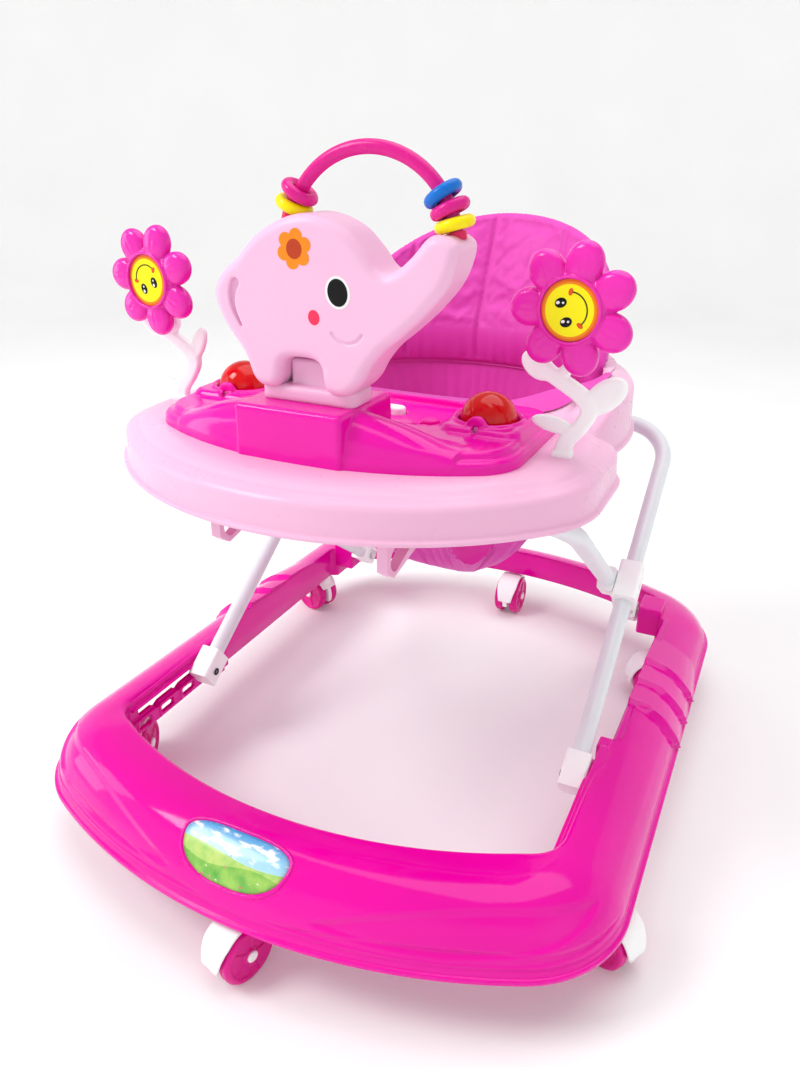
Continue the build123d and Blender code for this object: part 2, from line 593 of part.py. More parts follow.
with BuildPart() as music_unit:
    # circuit board, and the speaker above it
    with Locations((0, RISER_Y, 404)):
        Box(62, 56, 1.6)
    with Locations((0, RISER_Y, 405)):
        Cylinder(17, 9, align=(Align.CENTER, Align.CENTER, Align.MIN))
save(music_unit, "music_unit")
with BuildPart() as batteries:
    with Locations((0, RISER_Y, 395.4)):
        Box(58, 34, 15)
save(batteries, "battery_box")
with BuildPart() as battery_door:
    with Locations((0, RISER_Y, TRAY_TOP_Z - 1.5)):
        Box(75, 75, 2.4)
save(battery_door, "battery_door")

for side, name in ((1, "right"), (-1, "left")):
    with BuildPart() as ball:
        with Locations((side * BALL_X, BALL_Y, BALL_Z)):
            Sphere(BALL_RADIUS)
            Sphere(BALL_RADIUS - 1.6, mode=Mode.SUBTRACT)
        with Locations(Location((side * BALL_X, BALL_Y, BALL_Z), (90, 0, 0))):
            Cylinder(4, 2 * BALL_RADIUS - 1)
            Cylinder(2 + RUNNING_GAP, 60, mode=Mode.SUBTRACT)
    save(ball, f"rattle_ball_{name}")
with BuildPart() as ball_axles:
    for side in (1, -1):
        with Locations(Location((side * BALL_X, BALL_Y, BALL_Z), (90, 0, 0))):
            Cylinder(2, 55)
save(ball_axles, "ball_axles")

# ---- flowers on their stems -----------------------------------------------------------------------
FLOWERS = {"right": (166, 168, 79), "left": (-166, -173, 105)}   # foot x, head x, first petal's angle
PETALS, PETAL_RADIUS, PETAL_CENTRE, PETAL_DEPTH = 7, 15.0, 31.0, 12.0
STEM_DEPTH = 7.0
HEAD_BACK = STEM_DEPTH / 2 + 5     # from the stem's middle plane to the back of a flower


def flower_plane(head_x, forward):
    """Plane facing the flower's way, at a distance in front of the stem's middle plane."""
    lean = radians(FLOWER_YAW)
    normal = Vector(sin(lean), -cos(lean), 0)
    origin = Vector(head_x, FLOWER_Y, FLOWER_Z) + normal * forward
    return Plane(origin=origin, x_dir=(cos(lean), sin(lean), 0), z_dir=normal)


for name, (foot_x, head_x, first_petal) in FLOWERS.items():
    shift = head_x - foot_x
    with BuildPart() as stem:
        with BuildSketch(Plane(origin=(foot_x, FLOWER_Y, 0), x_dir=(1, 0, 0), z_dir=(0, -1, 0))):
            with BuildLine() as trunk:
                Spline((0, TRAY_TOP_Z + 4), (3, 400), (13, 413), (16, 424), (8, 434), (-10, 444), (-18, 450))
            trace(line_width=10)
            with BuildLine() as prong:
                Spline((-8, 443), (0, 452), (shift, 470), (shift, FLOWER_Z))
            trace(line_width=7)
            with Locations(Location((28, 437), 42)):
                Ellipse(19, 11)
            with Locations(Location((-25, 454), -35)):
                Ellipse(13, 8)
            with Locations(Location((-8, 413), -12)):
                Ellipse(14, 5)
            with Locations((0, TRAY_TOP_Z + 4)):
                Rectangle(12, 8)
        extrude(amount=STEM_DEPTH / 2, both=True)
        with Locations((foot_x, FLOWER_Y, TRAY_TOP_Z - 5)):
            Box(8, 6, 12)
        with BuildSketch(flower_plane(head_x, 0)):
            Circle(9)
        extrude(amount=HEAD_BACK - 0.5)
        with BuildSketch(flower_plane(head_x, 0)):
            Circle(3)
        extrude(amount=HEAD_BACK + 8)
    save(stem, f"flower_stem_{name}")

    with BuildPart() as head:
        with BuildSketch(flower_plane(head_x, HEAD_BACK)):
            with PolarLocations(PETAL_CENTRE, PETALS, start_angle=first_petal):
                Circle(PETAL_RADIUS)
            Circle(27)
        extrude(amount=PETAL_DEPTH)
        fillet(head.faces().sort_by(Axis.Y)[0].edges(), 4)
        with BuildSketch(flower_plane(head_x, HEAD_BACK + PETAL_DEPTH - 2.5)):
            Circle(FACE_RADIUS + 0.3)
        extrude(amount=5, mode=Mode.SUBTRACT)
        with BuildSketch(flower_plane(head_x, 0)):
            Circle(3 + RUNNING_GAP)
        extrude(amount=HEAD_BACK + 8.5, mode=Mode.SUBTRACT)
    save(head, f"flower_head_{name}")

    with BuildPart() as face:
        with BuildSketch(flower_plane(head_x, HEAD_BACK + PETAL_DEPTH - 2.5)):
            Circle(FACE_RADIUS)
        extrude(amount=4)
        fillet(face.faces().sort_by(Axis.Y)[0].edges(), 1.5)
    save(face, f"flower_face_{name}")

# ---- elephant, arch and rings ---------------------------------------------------------------------
ELEPHANT_OUTLINE = [
    (-37, 442), (-43, 457), (-57, 475), (-64, 494), (-57, 509), (-45, 519), (-28, 535), (-5, 546),
    (15, 548), (36, 541), (50, 529), (59, 518), (66, 515), (75, 519), (84, 527), (93, 537), (101, 539.5),
    (110, 537), (114, 530), (108, 511), (94, 493), (77, 477), (64, 466), (58, 453), (50, 442),
    (36, 437.5), (22, 440), (17, 448), (10, 456), (0, 458), (-10, 455), (-15, 446), (-26, 438),
]
ARCH_PLANE = Plane(origin=(ARCH_CENTRE_X, ELEPHANT_Y, ARCH_CENTRE_Z), x_dir=(1, 0, 0), z_dir=(0, -1, 0))
ARCH_START, ARCH_END = 2, 174
RINGS = {"right_yellow": 17.0, "right_magenta": 26.0, "right_blue": 35.0, "left_yellow": 155.8,
         "left_magenta": 146.8}
RING_MAJOR, RING_MINOR = 9.0, 3.8
RING_HOLLOWS = ((12.0, 36.0), (143.0, 161.5))   # stretches of the arch where the elephant makes room


def on_arch(angle):
    """Plane across the arch tube at an angle from the +X side, facing along the tube."""
    turn = radians(angle)
    origin = ARCH_PLANE.origin + Vector(cos(turn), 0, sin(turn)) * ARCH_RADIUS
    return Plane(origin=origin, x_dir=(0, -1, 0), z_dir=(-sin(turn), 0, cos(turn)))


def arch_stretch(start, end, radius):
    with BuildPart() as tube:
        with BuildLine(ARCH_PLANE) as arc:
            CenterArc((0, 0), ARCH_RADIUS, start, end - start)
        with BuildSketch(on_arch(start)):
            Circle(radius)
        sweep(path=arc.line)
    return tube


arch = arch_stretch(ARCH_START, ARCH_END, ARCH_TUBE_RADIUS)
save(arch, "arch_tube")
with BuildPart() as collars:
    add(arch_stretch(8.4, 12.8, 6.2).part)
    add(arch_stretch(160.0, 165.0, 6.2).part)
    add(arch.part, mode=Mode.SUBTRACT)
save(collars, "arch_collars")

with BuildPart() as elephant:
    with BuildSketch(Plane(origin=(0, ELEPHANT_Y, 0), x_dir=(1, 0, 0), z_dir=(0, -1, 0))):
        with BuildLine():
            Spline(*ELEPHANT_OUTLINE, periodic=True)
        make_face()
    extrude(amount=ELEPHANT_THICKNESS / 2, both=True)
    fillet(elephant.faces().sort_by(Axis.Y)[0].edges(), ELEPHANT_ROUND)
    fillet(elephant.faces().sort_by(Axis.Y)[-1].edges(), ELEPHANT_ROUND)
    # hollows that the rings rest in
    for start, end in RING_HOLLOWS:
        add(arch_stretch(start, end, RING_MAJOR + RING_MINOR + 0.5).part, mode=Mode.SUBTRACT)
    add(arch.part, mode=Mode.SUBTRACT)
    add(collars.part, mode=Mode.SUBTRACT)

with BuildPart() as pedestal:
    with BuildSketch(Plane.XY.offset(RISER_TOP_Z)) as foot_plan:
        with Locations((-3, ELEPHANT_Y)):
            Rectangle(78, 38)
        fillet(foot_plan.vertices(), 6)
    extrude(amount=20, taper=12)
    add(elephant.part, mode=Mode.SUBTRACT)
save(pedestal, "elephant_pedestal")
save(elephant, "elephant_body")

for name, angle in RINGS.items():
    with BuildPart() as ring:
        with BuildSketch(Plane(origin=on_arch(angle).origin, x_dir=on_arch(angle).z_dir, z_dir=(0, -1, 0))):
            with Locations((0, RING_MAJOR)):
                Circle(RING_MINOR)
        revolve(axis=Axis(on_arch(angle).origin, on_arch(angle).z_dir))
    save(ring, f"ring_{name}")

# ---- seat -----------------------------------------------------------------------------------------
SEAT_TOP_Z, SEAT_LEAN_Z, SEAT_JOIN_Z, SEAT_BOTTOM_Z = 522.0, 410.0, 372.0, 200.0
LEG_HOLE_X, LEG_HOLE_Z, LEG_HOLE_HALF = 52.0, 258.0, (34.0, 40.0)
PADDING, SLING_CLOTH = 12.0, 6.0


def oval_loft(levels):
    """Solid through oval sections given as (z, half x, half y, centre y)."""
    with BuildPart() as solid:
        for z, half_x, half_y, centre_y in levels:
            with BuildSketch(Plane.XY.offset(z)):
                with Locations((0, centre_y)):
                    Ellipse(half_x, half_y)
        loft()
    return solid.part


BACK_LEVELS = ((SEAT_LEAN_Z, 146.5, 116.5, SEAT_CENTRE_Y), (SEAT_TOP_Z, 150, 160, 70))
SLING_LEVELS = ((SEAT_JOIN_Z - 0.5, 143, 113, SEAT_CENTRE_Y), (310, 133, 104, 62), (250, 110, 90, 68),
                (SEAT_BOTTOM_Z, 66, 56, 78))

with BuildPart() as seat_back:
    add(oval_loft(BACK_LEVELS))
    with BuildSketch(Plane.XY.offset(SEAT_JOIN_Z)):
        add(seat_opening(-1.5))
    extrude(amount=SEAT_LEAN_Z - SEAT_JOIN_Z)
    add(oval_loft([(z, x - PADDING, y - PADDING, c) for z, x, y, c in BACK_LEVELS]), mode=Mode.SUBTRACT)
    with BuildSketch(Plane.XY.offset(SEAT_JOIN_Z)):
        add(seat_opening(-1.5 - PADDING))
    extrude(amount=SEAT_LEAN_Z - SEAT_JOIN_Z, mode=Mode.SUBTRACT)
    with BuildSketch(Plane(origin=(0, 55, 0), x_dir=(1, 0, 0), z_dir=(0, 1, 0))):
        with Locations((0, -392)):
            Ellipse(146, 127)
        with Locations((0, -380)):
            Rectangle(292, 24)
    extrude(amount=200, mode=Mode.INTERSECT)
save(seat_back, "seat_back")

with BuildPart() as seat_sling:
    add(oval_loft(SLING_LEVELS))
    add(oval_loft([(z + (SLING_CLOTH if z == SEAT_BOTTOM_Z else 0), x - SLING_CLOTH, y - SLING_CLOTH, c)
                   for z, x, y, c in SLING_LEVELS]), mode=Mode.SUBTRACT)
    for side in (1, -1):
        with BuildSketch(Plane(origin=(side * LEG_HOLE_X, 60, LEG_HOLE_Z), x_dir=(1, 0, 0), z_dir=(0, -1, 0))):
            Ellipse(*LEG_HOLE_HALF)
        extrude(amount=140, mode=Mode.SUBTRACT)
save(seat_sling, "seat_sling")
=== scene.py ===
import math

import bpy
import numpy as np
from mathutils import Matrix, Vector


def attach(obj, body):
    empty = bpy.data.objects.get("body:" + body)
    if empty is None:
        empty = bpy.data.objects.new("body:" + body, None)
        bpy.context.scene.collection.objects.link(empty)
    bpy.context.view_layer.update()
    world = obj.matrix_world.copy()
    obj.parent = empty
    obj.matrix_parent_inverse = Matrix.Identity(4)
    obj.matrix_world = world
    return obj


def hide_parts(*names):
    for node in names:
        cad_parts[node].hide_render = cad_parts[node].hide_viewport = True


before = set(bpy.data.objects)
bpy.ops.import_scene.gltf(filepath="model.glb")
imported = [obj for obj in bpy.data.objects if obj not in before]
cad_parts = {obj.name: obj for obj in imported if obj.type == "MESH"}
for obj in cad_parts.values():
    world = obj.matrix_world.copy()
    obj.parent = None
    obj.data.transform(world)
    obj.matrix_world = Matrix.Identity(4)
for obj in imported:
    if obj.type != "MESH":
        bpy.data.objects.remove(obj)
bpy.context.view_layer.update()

MM = 0.001


# ---- mesh helpers --------------------------------------------------------------------------------
def make_mesh(name, points, quads, smooth=True):
    """Object from points in millimetres and faces given by point numbers."""
    mesh = bpy.data.meshes.new(name)
    if isinstance(quads, np.ndarray):
        points = np.asarray(points, float)
        mesh.vertices.add(len(points))
        mesh.vertices.foreach_set("co", (points * MM).astype(np.float32).ravel())
        sides = quads.shape[1]
        mesh.loops.add(quads.size)
        mesh.loops.foreach_set("vertex_index", quads.astype(np.int32).ravel())
        mesh.polygons.add(len(quads))
        mesh.polygons.foreach_set("loop_start", (np.arange(len(quads)) * sides).astype(np.int32))
    else:
        mesh.from_pydata([tuple(c * MM for c in p) for p in points], [], quads)
    mesh.update(calc_edges=True)
    mesh.validate()
    mesh.polygons.foreach_set("use_smooth", [smooth] * len(mesh.polygons))
    piece = bpy.data.objects.new(name, mesh)
    bpy.context.scene.collection.objects.link(piece)
    return piece


def grid_mesh(name, grid, closed_columns=True):
    """Mesh from a closed ring of rows of points, faces turned outwards."""
    rows, columns = grid.shape[:2]
    quads = strip_faces(rows, columns, True, closed_columns)
    return make_mesh(name, grid.reshape(-1, 3), quads[:, ::-1].copy())


def place(piece, body, material, slot, nodes=()):
    """Give a piece its body and material, and hide the CAD nodes it stands for; slot is not used."""
    piece.data.materials.append(material)
    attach(piece, body)
    if nodes:
        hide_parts(*nodes)
    return piece


def apply_modifiers(piece):
    """Turn a piece's modifiers into mesh."""
    graph = bpy.context.evaluated_depsgraph_get()
    graph.update()
    mesh = bpy.data.meshes.new_from_object(piece.evaluated_get(graph))
    piece.modifiers.clear()
    piece.data = mesh
    return piece


def strip_faces(rows, columns, closed_rows=True, closed_columns=False):
    """Quads of a grid numbered row by row."""
    i, j = np.meshgrid(np.arange(rows if closed_rows else rows - 1),
                       np.arange(columns if closed_columns else columns - 1), indexing="ij")
    i2, j2 = (i + 1) % rows, (j + 1) % columns
    corners = [i * columns + j, i2 * columns + j, i2 * columns + j2, i * columns + j2]
    return np.stack(corners, -1).reshape(-1, 4)


# ---- distance fields -----------------------------------------------------------------------------
def smin(a, b, k):
    h = np.clip(0.5 + 0.5 * (b - a) / k, 0, 1)
    return b + (a - b) * h - k * h * (1 - h)


def smax(a, b, k):
    return -smin(-a, -b, k)


def box_field(p, centre, half, r=0.0):
    q = np.abs(p - np.asarray(centre)) - (np.asarray(half) - r)
    return np.linalg.norm(np.maximum(q, 0), axis=1) + np.minimum(q.max(axis=1), 0) - r


def ball_field(p, centre, r):
    return np.linalg.norm(p - np.asarray(centre), axis=1) - r


def rod_field(p, a, b, r):
    """Capsule from a to b."""
    a, b = np.asarray(a, float), np.asarray(b, float)
    ab = b - a
    t = np.clip((p - a) @ ab / (ab @ ab), 0, 1)
    return np.linalg.norm(p - a - t[:, None] * ab, axis=1) - r


def disc_field(p, centre, axis, r, half, rounding=0.0):
    """Round-edged cylinder along a unit axis."""
    d = p - np.asarray(centre)
    along = d @ np.asarray(axis)
    across = np.linalg.norm(d - along[:, None] * np.asarray(axis), axis=1)
    return plate(across - r, along, half, rounding)


def plate(flat, across, half, r):
    """A flat outline's distance given thickness and rounded edges."""
    x, y = flat + r, np.abs(across) - half + r
    return np.minimum(np.maximum(x, y), 0) + np.hypot(np.maximum(x, 0), np.maximum(y, 0)) - r


def outline_field(q, loop):
    """Signed distance of flat points q to a closed outline."""
    best = np.full(len(q), 1e18)
    inside = np.zeros(len(q), bool)
    for a, b in zip(loop, np.roll(loop, -1, axis=0)):
        ab, aq = b - a, q - a
        t = np.clip(aq @ ab / max(ab @ ab, 1e-12), 0, 1)
        best = np.minimum(best, ((aq - t[:, None] * ab) ** 2).sum(axis=1))
        cross = (a[1] > q[:, 1]) != (b[1] > q[:, 1])
        with np.errstate(divide="ignore", invalid="ignore"):
            inside ^= cross & (q[:, 0] < (b[0] - a[0]) * (q[:, 1] - a[1]) / (b[1] - a[1]) + a[0])
    return np.where(inside, -1, 1) * np.sqrt(best)


def line_field(q, points):
    """Distance of flat points q to an open line."""
    best = np.full(len(q), 1e18)
    for a, b in zip(points[:-1], points[1:]):
        ab, aq = b - a, q - a
        t = np.clip(aq @ ab / max(ab @ ab, 1e-12), 0, 1)
        best = np.minimum(best, ((aq - t[:, None] * ab) ** 2).sum(axis=1))
    return np.sqrt(best)


def smooth_line(points, closed=True, parts=8):
    """Catmull-Rom line through flat or solid points."""
    p = np.asarray(points, float)
    n = len(p)
    out = []
    for i in range(n if closed else n - 1):
        near = np.arange(i - 1, i + 3)
        p0, p1, p2, p3 = p[near % n if closed else np.clip(near, 0, n - 1)]
        for t in np.arange(parts) / parts:
            out.append(0.5 * (2 * p1 + (p2 - p0) * t + (2 * p0 - 5 * p1 + 4 * p2 - p3) * t**2
                              + (3 * p1 - p0 - 3 * p2 + p3) * t**3))
    if not closed:
        out.append(p[-1])
    return np.array(out)


def net(field, low, high, step, block=4):
    """Surface where field is zero, as points and quads, by surface nets on a fine grid."""
    low = np.asarray(low, float)
    count = (np.ceil((np.asarray(high) - low) / step / block).astype(int) + 1)
    base = np.stack(np.meshgrid(*[np.arange(c) for c in count], indexing="ij"), -1).reshape(-1, 3)
    mid = field(low + step * block * (base + 0.5) - step / 2)
    near = np.abs(mid) < step * block * 1.35 + step
    grid = np.repeat(np.repeat(np.repeat(mid.reshape(count), block, 0), block, 1), block, 2)
    inner = np.stack(np.meshgrid(*[np.arange(block)] * 3, indexing="ij"), -1).reshape(-1, 3)
    for part in np.array_split(base[near], max(1, near.sum() // 4000)):
        index = (part[:, None, :] * block + inner[None]).reshape(-1, 3)
        grid[tuple(index.T)] = field(low + step * index)
    corner = np.array([[x, y, z] for x in (0, 1) for y in (0, 1) for z in (0, 1)])
    inside = grid < 0
    shape = np.array(grid.shape) - 1
    total = sum(inside[c[0]:c[0] + shape[0], c[1]:c[1] + shape[1], c[2]:c[2] + shape[2]].astype(np.int8)
                for c in corner)
    cells = np.argwhere((total > 0) & (total < 8))
    number = np.full(shape, -1, np.int64)
    number[tuple(cells.T)] = np.arange(len(cells))
    value = np.stack([grid[tuple((cells + c).T)] for c in corner], 1)
    place_sum, hits = np.zeros((len(cells), 3)), np.zeros(len(cells))
    for a in range(8):
        for b in range(a + 1, 8):
            if np.abs(corner[a] - corner[b]).sum() == 1:
                cut = (value[:, a] < 0) != (value[:, b] < 0)
                t = np.where(cut, value[:, a] / np.where(cut, value[:, a] - value[:, b], 1), 0)
                place_sum += np.where(cut[:, None], corner[a] + t[:, None] * (corner[b] - corner[a]), 0)
                hits += cut
    points = low + step * (cells + place_sum / hits[:, None])
    quads = []
    for axis in range(3):
        u, v = (axis + 1) % 3, (axis + 2) % 3
        ahead = np.roll(inside, -1, axis)
        edge = inside != ahead
        edge[tuple(slice(-1, None) if k == axis else slice(None) for k in range(3))] = False
        at = np.argwhere(edge)
        at = at[(at[:, u] > 0) & (at[:, v] > 0) & (at < shape).all(axis=1)]
        ids = []
        for du, dv in ((-1, -1), (0, -1), (0, 0), (-1, 0)):
            cell = at.copy()
            cell[:, u] += du
            cell[:, v] += dv
            ids.append(number[tuple(cell.T)])
        quad = np.stack(ids, 1)
        flip = ~inside[tuple(at.T)]
        quad[flip] = quad[flip][:, ::-1]
        quads.append(quad[(quad >= 0).all(axis=1)])
    for _ in range(2):
        value = field(points)
        slope = np.stack([field(points + e) - field(points - e) for e in np.eye(3) * step * 0.3], 1)
        slope /= step * 0.6
        move = value[:, None] * slope / np.maximum((slope**2).sum(axis=1), 0.05)[:, None]
        size = np.linalg.norm(move, axis=1, keepdims=True)
        points = points - move * np.minimum(1, 0.6 * step / np.maximum(size, 1e-9))
    return points, np.concatenate(quads)


def carved(name, field, low, high, step, body, material, slot, nodes=()):
    """Piece whose skin is where the field is zero."""
    return place(make_mesh(name, *net(field, low, high, step)), body, material, slot, nodes)


# ---- materials -----------------------------------------------------------------------------------
def node_material(name):
    material = bpy.data.materials.new(name)
    material.use_nodes = True
    tree = material.node_tree
    return material, tree, tree.nodes["Principled BSDF"]


def noise_node(tree, scale, detail=3.0, roughness=0.5, coords=None):
    noise = tree.nodes.new("ShaderNodeTexNoise")
    noise.inputs["Scale"].default_value = scale
    noise.inputs["Detail"].default_value = detail
    noise.inputs["Roughness"].default_value = roughness
    tree.links.new((coords or object_coords(tree)), noise.inputs["Vector"])
    return noise.outputs["Fac"]


def object_coords(tree):
    for node in tree.nodes:
        if node.bl_idname == "ShaderNodeTexCoord":
            return node.outputs["Object"]
    return tree.nodes.new("ShaderNodeTexCoord").outputs["Object"]


def ramp(tree, value, low, high, start=0.3, end=0.7):
    """Colour or grey that runs from low to high as value goes from start to end."""
    node = tree.nodes.new("ShaderNodeValToRGB")
    grey = not hasattr(low, "__len__")
    for element, at, level in zip(node.color_ramp.elements, (start, end), (low, high)):
        element.position = at
        element.color = (level, level, level, 1) if grey else (*level, 1)
    tree.links.new(value, node.inputs["Fac"])
    return node.outputs["Color"]


def speckled(tree, socket, scale, low, high, detail=3.0):
    """Drive a socket by noise that runs between two levels or colours."""
    tree.links.new(ramp(tree, noise_node(tree, scale, detail), low, high), socket)


def bump(tree, shader, height, strength, distance):
    node = tree.nodes.new("ShaderNodeBump")
    node.inputs["Strength"].default_value = strength
    node.inputs["Distance"].default_value = distance
    tree.links.new(height, node.inputs["Height"])
    tree.links.new(node.outputs["Normal"], shader.inputs["Normal"])
    return node


def plastic(name, colour, rough=(0.1, 0.2), coat=0.1, glow=0.06, tone=0.05, ripple=0.08):
    """Glossy moulded plastic: faint colour drift, orange peel and fine wipe marks in the gloss."""
    material, tree, shader = node_material(name)
    colour = np.array(colour)
    dark, light = tuple(colour * (1 - tone)), tuple(np.minimum(colour * (1 + tone), 1))
    speckled(tree, shader.inputs["Base Color"], 9.0, dark, light, 2.0)
    wipe = noise_node(tree, 60.0, 5.0, 0.6)
    tree.links.new(ramp(tree, wipe, rough[0], rough[1]), shader.inputs["Roughness"])
    shader.inputs["Specular IOR Level"].default_value = 0.22
    shader.inputs["Coat Weight"].default_value = coat
    shader.inputs["Coat Roughness"].default_value = 0.08
    shader.inputs["Subsurface Weight"].default_value = glow
    shader.inputs["Subsurface Radius"].default_value = (0.006, 0.003, 0.004)
    shader.inputs["Subsurface Scale"].default_value = 0.6
    bump(tree, shader, noise_node(tree, 420.0, 2.0), ripple, 0.0004)
    return material


def painted(name, colour):
    """Powder coat on steel tube."""
    material, tree, shader = node_material(name)
    colour = np.array(colour)
    speckled(tree, shader.inputs["Base Color"], 25.0, tuple(colour * 0.95), tuple(colour))
    speckled(tree, shader.inputs["Roughness"], 180.0, 0.28, 0.42, 4.0)
    shader.inputs["Coat Weight"].default_value = 0.25
    shader.inputs["Coat Roughness"].default_value = 0.2
    bump(tree, shader, noise_node(tree, 900.0, 2.0), 0.15, 0.0003)
    return material


def steel(name):
    material, tree, shader = node_material(name)
    speckled(tree, shader.inputs["Roughness"], 300.0, 0.22, 0.42, 4.0)
    speckled(tree, shader.inputs["Base Color"], 60.0, (0.55, 0.55, 0.57), (0.7, 0.7, 0.72))
    shader.inputs["Metallic"].default_value = 1.0
    bump(tree, shader, noise_node(tree, 1500.0, 2.0), 0.1, 0.0002)
    return material


def fabric(name, colour, deep):
    """Plain-woven polyester: crossing threads, a soft sheen and worn lighter folds."""
    material, tree, shader = node_material(name)
    worn = ramp(tree, noise_node(tree, 14.0, 4.0), deep, colour, 0.25, 0.6)
    tree.links.new(worn, shader.inputs["Base Color"])
    waves = []
    for turn in ("X", "Y", "Z"):
        wave = tree.nodes.new("ShaderNodeTexWave")
        wave.bands_direction = turn
        wave.inputs["Scale"].default_value = 620.0
        wave.inputs["Distortion"].default_value = 0.8
        wave.inputs["Detail"].default_value = 1.0
        tree.links.new(object_coords(tree), wave.inputs["Vector"])
        waves.append(wave.outputs["Fac"])
    weave = waves[0]
    for other in waves[1:]:
        node = tree.nodes.new("ShaderNodeMath")
        node.operation = "ADD"
        tree.links.new(weave, node.inputs[0])
        tree.links.new(other, node.inputs[1])
        weave = node.outputs[0]
    first = bump(tree, shader, weave, 0.18, 0.0003)
    crumple = tree.nodes.new("ShaderNodeBump")
    crumple.inputs["Strength"].default_value = 0.3
    crumple.inputs["Distance"].default_value = 0.006
    drawn = tree.nodes.new("ShaderNodeMapping")
    drawn.inputs["Scale"].default_value = (1.0, 1.0, 0.3)
    tree.links.new(object_coords(tree), drawn.inputs["Vector"])
    tree.links.new(noise_node(tree, 26.0, 3.0, 0.5, drawn.outputs["Vector"]), crumple.inputs["Height"])
    tree.links.new(crumple.outputs["Normal"], first.inputs["Normal"])
    speckled(tree, shader.inputs["Roughness"], 220.0, 0.45, 0.62)
    shader.inputs["Sheen Weight"].default_value = 0.25
    shader.inputs["Sheen Roughness"].default_value = 0.35
    shader.inputs["Sheen Tint"].default_value = (1.0, 0.65, 0.95, 1)
    return material


def linear(red, green, blue):
    """Screen colour, 0 to 255, as the shader's linear colour."""
    return tuple(((c / 255 + 0.055) / 1.055) ** 2.4 if c > 10 else c / 255 / 12.92
                 for c in (red, green, blue))


SATIN, SOFT_GLOSS = (0.25, 0.38), (0.22, 0.32)   # ranges of roughness
HOT_PINK = plastic("hot_pink_plastic", linear(234, 2, 162), rough=(0.05, 0.12), coat=0.12)
TOY_PINK = plastic("toy_pink_plastic", linear(238, 10, 170), rough=(0.07, 0.15), coat=0.2)
PALE_PINK = plastic("pale_pink_plastic", linear(241, 186, 217), SATIN, 0.12, 0.1, 0.02)
ELEPHANT_PINK = plastic("elephant_pink_plastic", linear(241, 190, 221), (0.3, 0.42), 0.1, 0.12, 0.02)
PETAL_PINK = plastic("petal_pink_plastic", linear(236, 40, 178), rough=(0.12, 0.24), coat=0.3, glow=0.1)
WHITE = plastic("white_plastic", (0.985, 1.0, 0.99), rough=SATIN, coat=0.15, glow=0.0, tone=0.004)
WHEEL_PINK = plastic("wheel_pink_plastic", linear(222, 8, 140), rough=(0.18, 0.3))
COLLAR_RED = plastic("collar_red_plastic", linear(222, 24, 92))
YELLOW = plastic("yellow_plastic", linear(254, 232, 2), rough=SOFT_GLOSS)
MAGENTA = plastic("magenta_plastic", linear(220, 26, 140), rough=SOFT_GLOSS)
BLUE = plastic("blue_plastic", linear(6, 112, 205), rough=SOFT_GLOSS)
DARK = plastic("dark_plastic", linear(34, 36, 40), rough=(0.4, 0.6), coat=0.0, glow=0.0)
TUBE = painted("tube_powder_coat", linear(232, 236, 240))
STEEL = steel("zinc_steel")
FABRIC = fabric("seat_polyester", linear(226, 62, 182), linear(222, 48, 174))

# every CAD node that stays visible gets its material here
for node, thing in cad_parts.items():
    if node.startswith("caster_"):
        kind = node.rsplit("_", 1)[1]
        material = {"hood": WHITE, "pins": STEEL, "wheels": WHEEL_PINK}[kind]
    elif node.endswith("_tube") and "leg" in node:
        material = TUBE
    elif "pins" in node or node == "ball_axles":
        material = STEEL
    elif node in ("music_unit", "battery_box"):
        material = DARK
    elif node == "battery_door":
        material = TOY_PINK
    elif node.startswith("music_button"):
        material = TOY_PINK
    elif node.startswith("ring_"):
        material = {"yellow": YELLOW, "magenta": MAGENTA, "blue": BLUE}[node.rsplit("_", 1)[1]]
    elif node == "arch_tube":
        material = MAGENTA
    elif node == "arch_collars":
        material = COLLAR_RED
    elif node == "elephant_pedestal":
        material = PALE_PINK
    elif node in ("seat_back", "seat_sling"):
        material = FABRIC
    elif node in ("tray_shell", "elephant_body", "tray_height_racks"):
        material = PALE_PINK
    elif node in ("base_ring", "toy_tray"):
        material = HOT_PINK
    else:
        material = WHITE
    thing.data.materials.clear()
    thing.data.materials.append(material)


# ---- outlines ------------------------------------------------------------------------------------
def bowed_loop(half, front_y, front_r, front_corner, rear_y, rear_r, rear_corner, step=3.0):
    """Rounded plan outline with a bowed front and rear: points and outward normals, even steps."""
    points, normals = [], []

    def arc(cx, cy, r, start, end):
        count = max(3, int(abs(end - start) * r / step))
        for turn in np.linspace(start, end, count, endpoint=False):
            normals.append((math.sin(turn), -math.cos(turn)))
            points.append((cx + r * math.sin(turn), cy - r * math.cos(turn)))

    front_mid, rear_mid = front_y + front_r, rear_y - rear_r
    fx, rx = half - front_corner, half - rear_corner
    fy = front_mid - math.sqrt((front_r - front_corner) ** 2 - fx**2)
    ry = rear_mid + math.sqrt((rear_r - rear_corner) ** 2 - rx**2)
    lean, lean_rear = math.atan2(fx, front_mid - fy), math.atan2(rx, ry - rear_mid)
    arc(0, front_mid, front_r, 0, lean)
    arc(fx, fy, front_corner, lean, math.pi / 2)
    for y in np.linspace(fy, ry, max(3, int((ry - fy) / step)), endpoint=False):
        points.append((half, y))
        normals.append((1, 0))
    arc(rx, ry, rear_corner, math.pi / 2, math.pi - lean_rear)
    arc(0, rear_mid, rear_r, math.pi - lean_rear, math.pi)
    p, n = np.array(points), np.array(normals)
    end_p, end_n = np.array([[0, rear_y]]), np.array([[0, 1.0]])
    mirror = np.array([-1, 1])
    return (np.concatenate([p, end_p, (p * mirror)[:0:-1]]), np.concatenate([n, end_n, (n * mirror)[:0:-1]]))


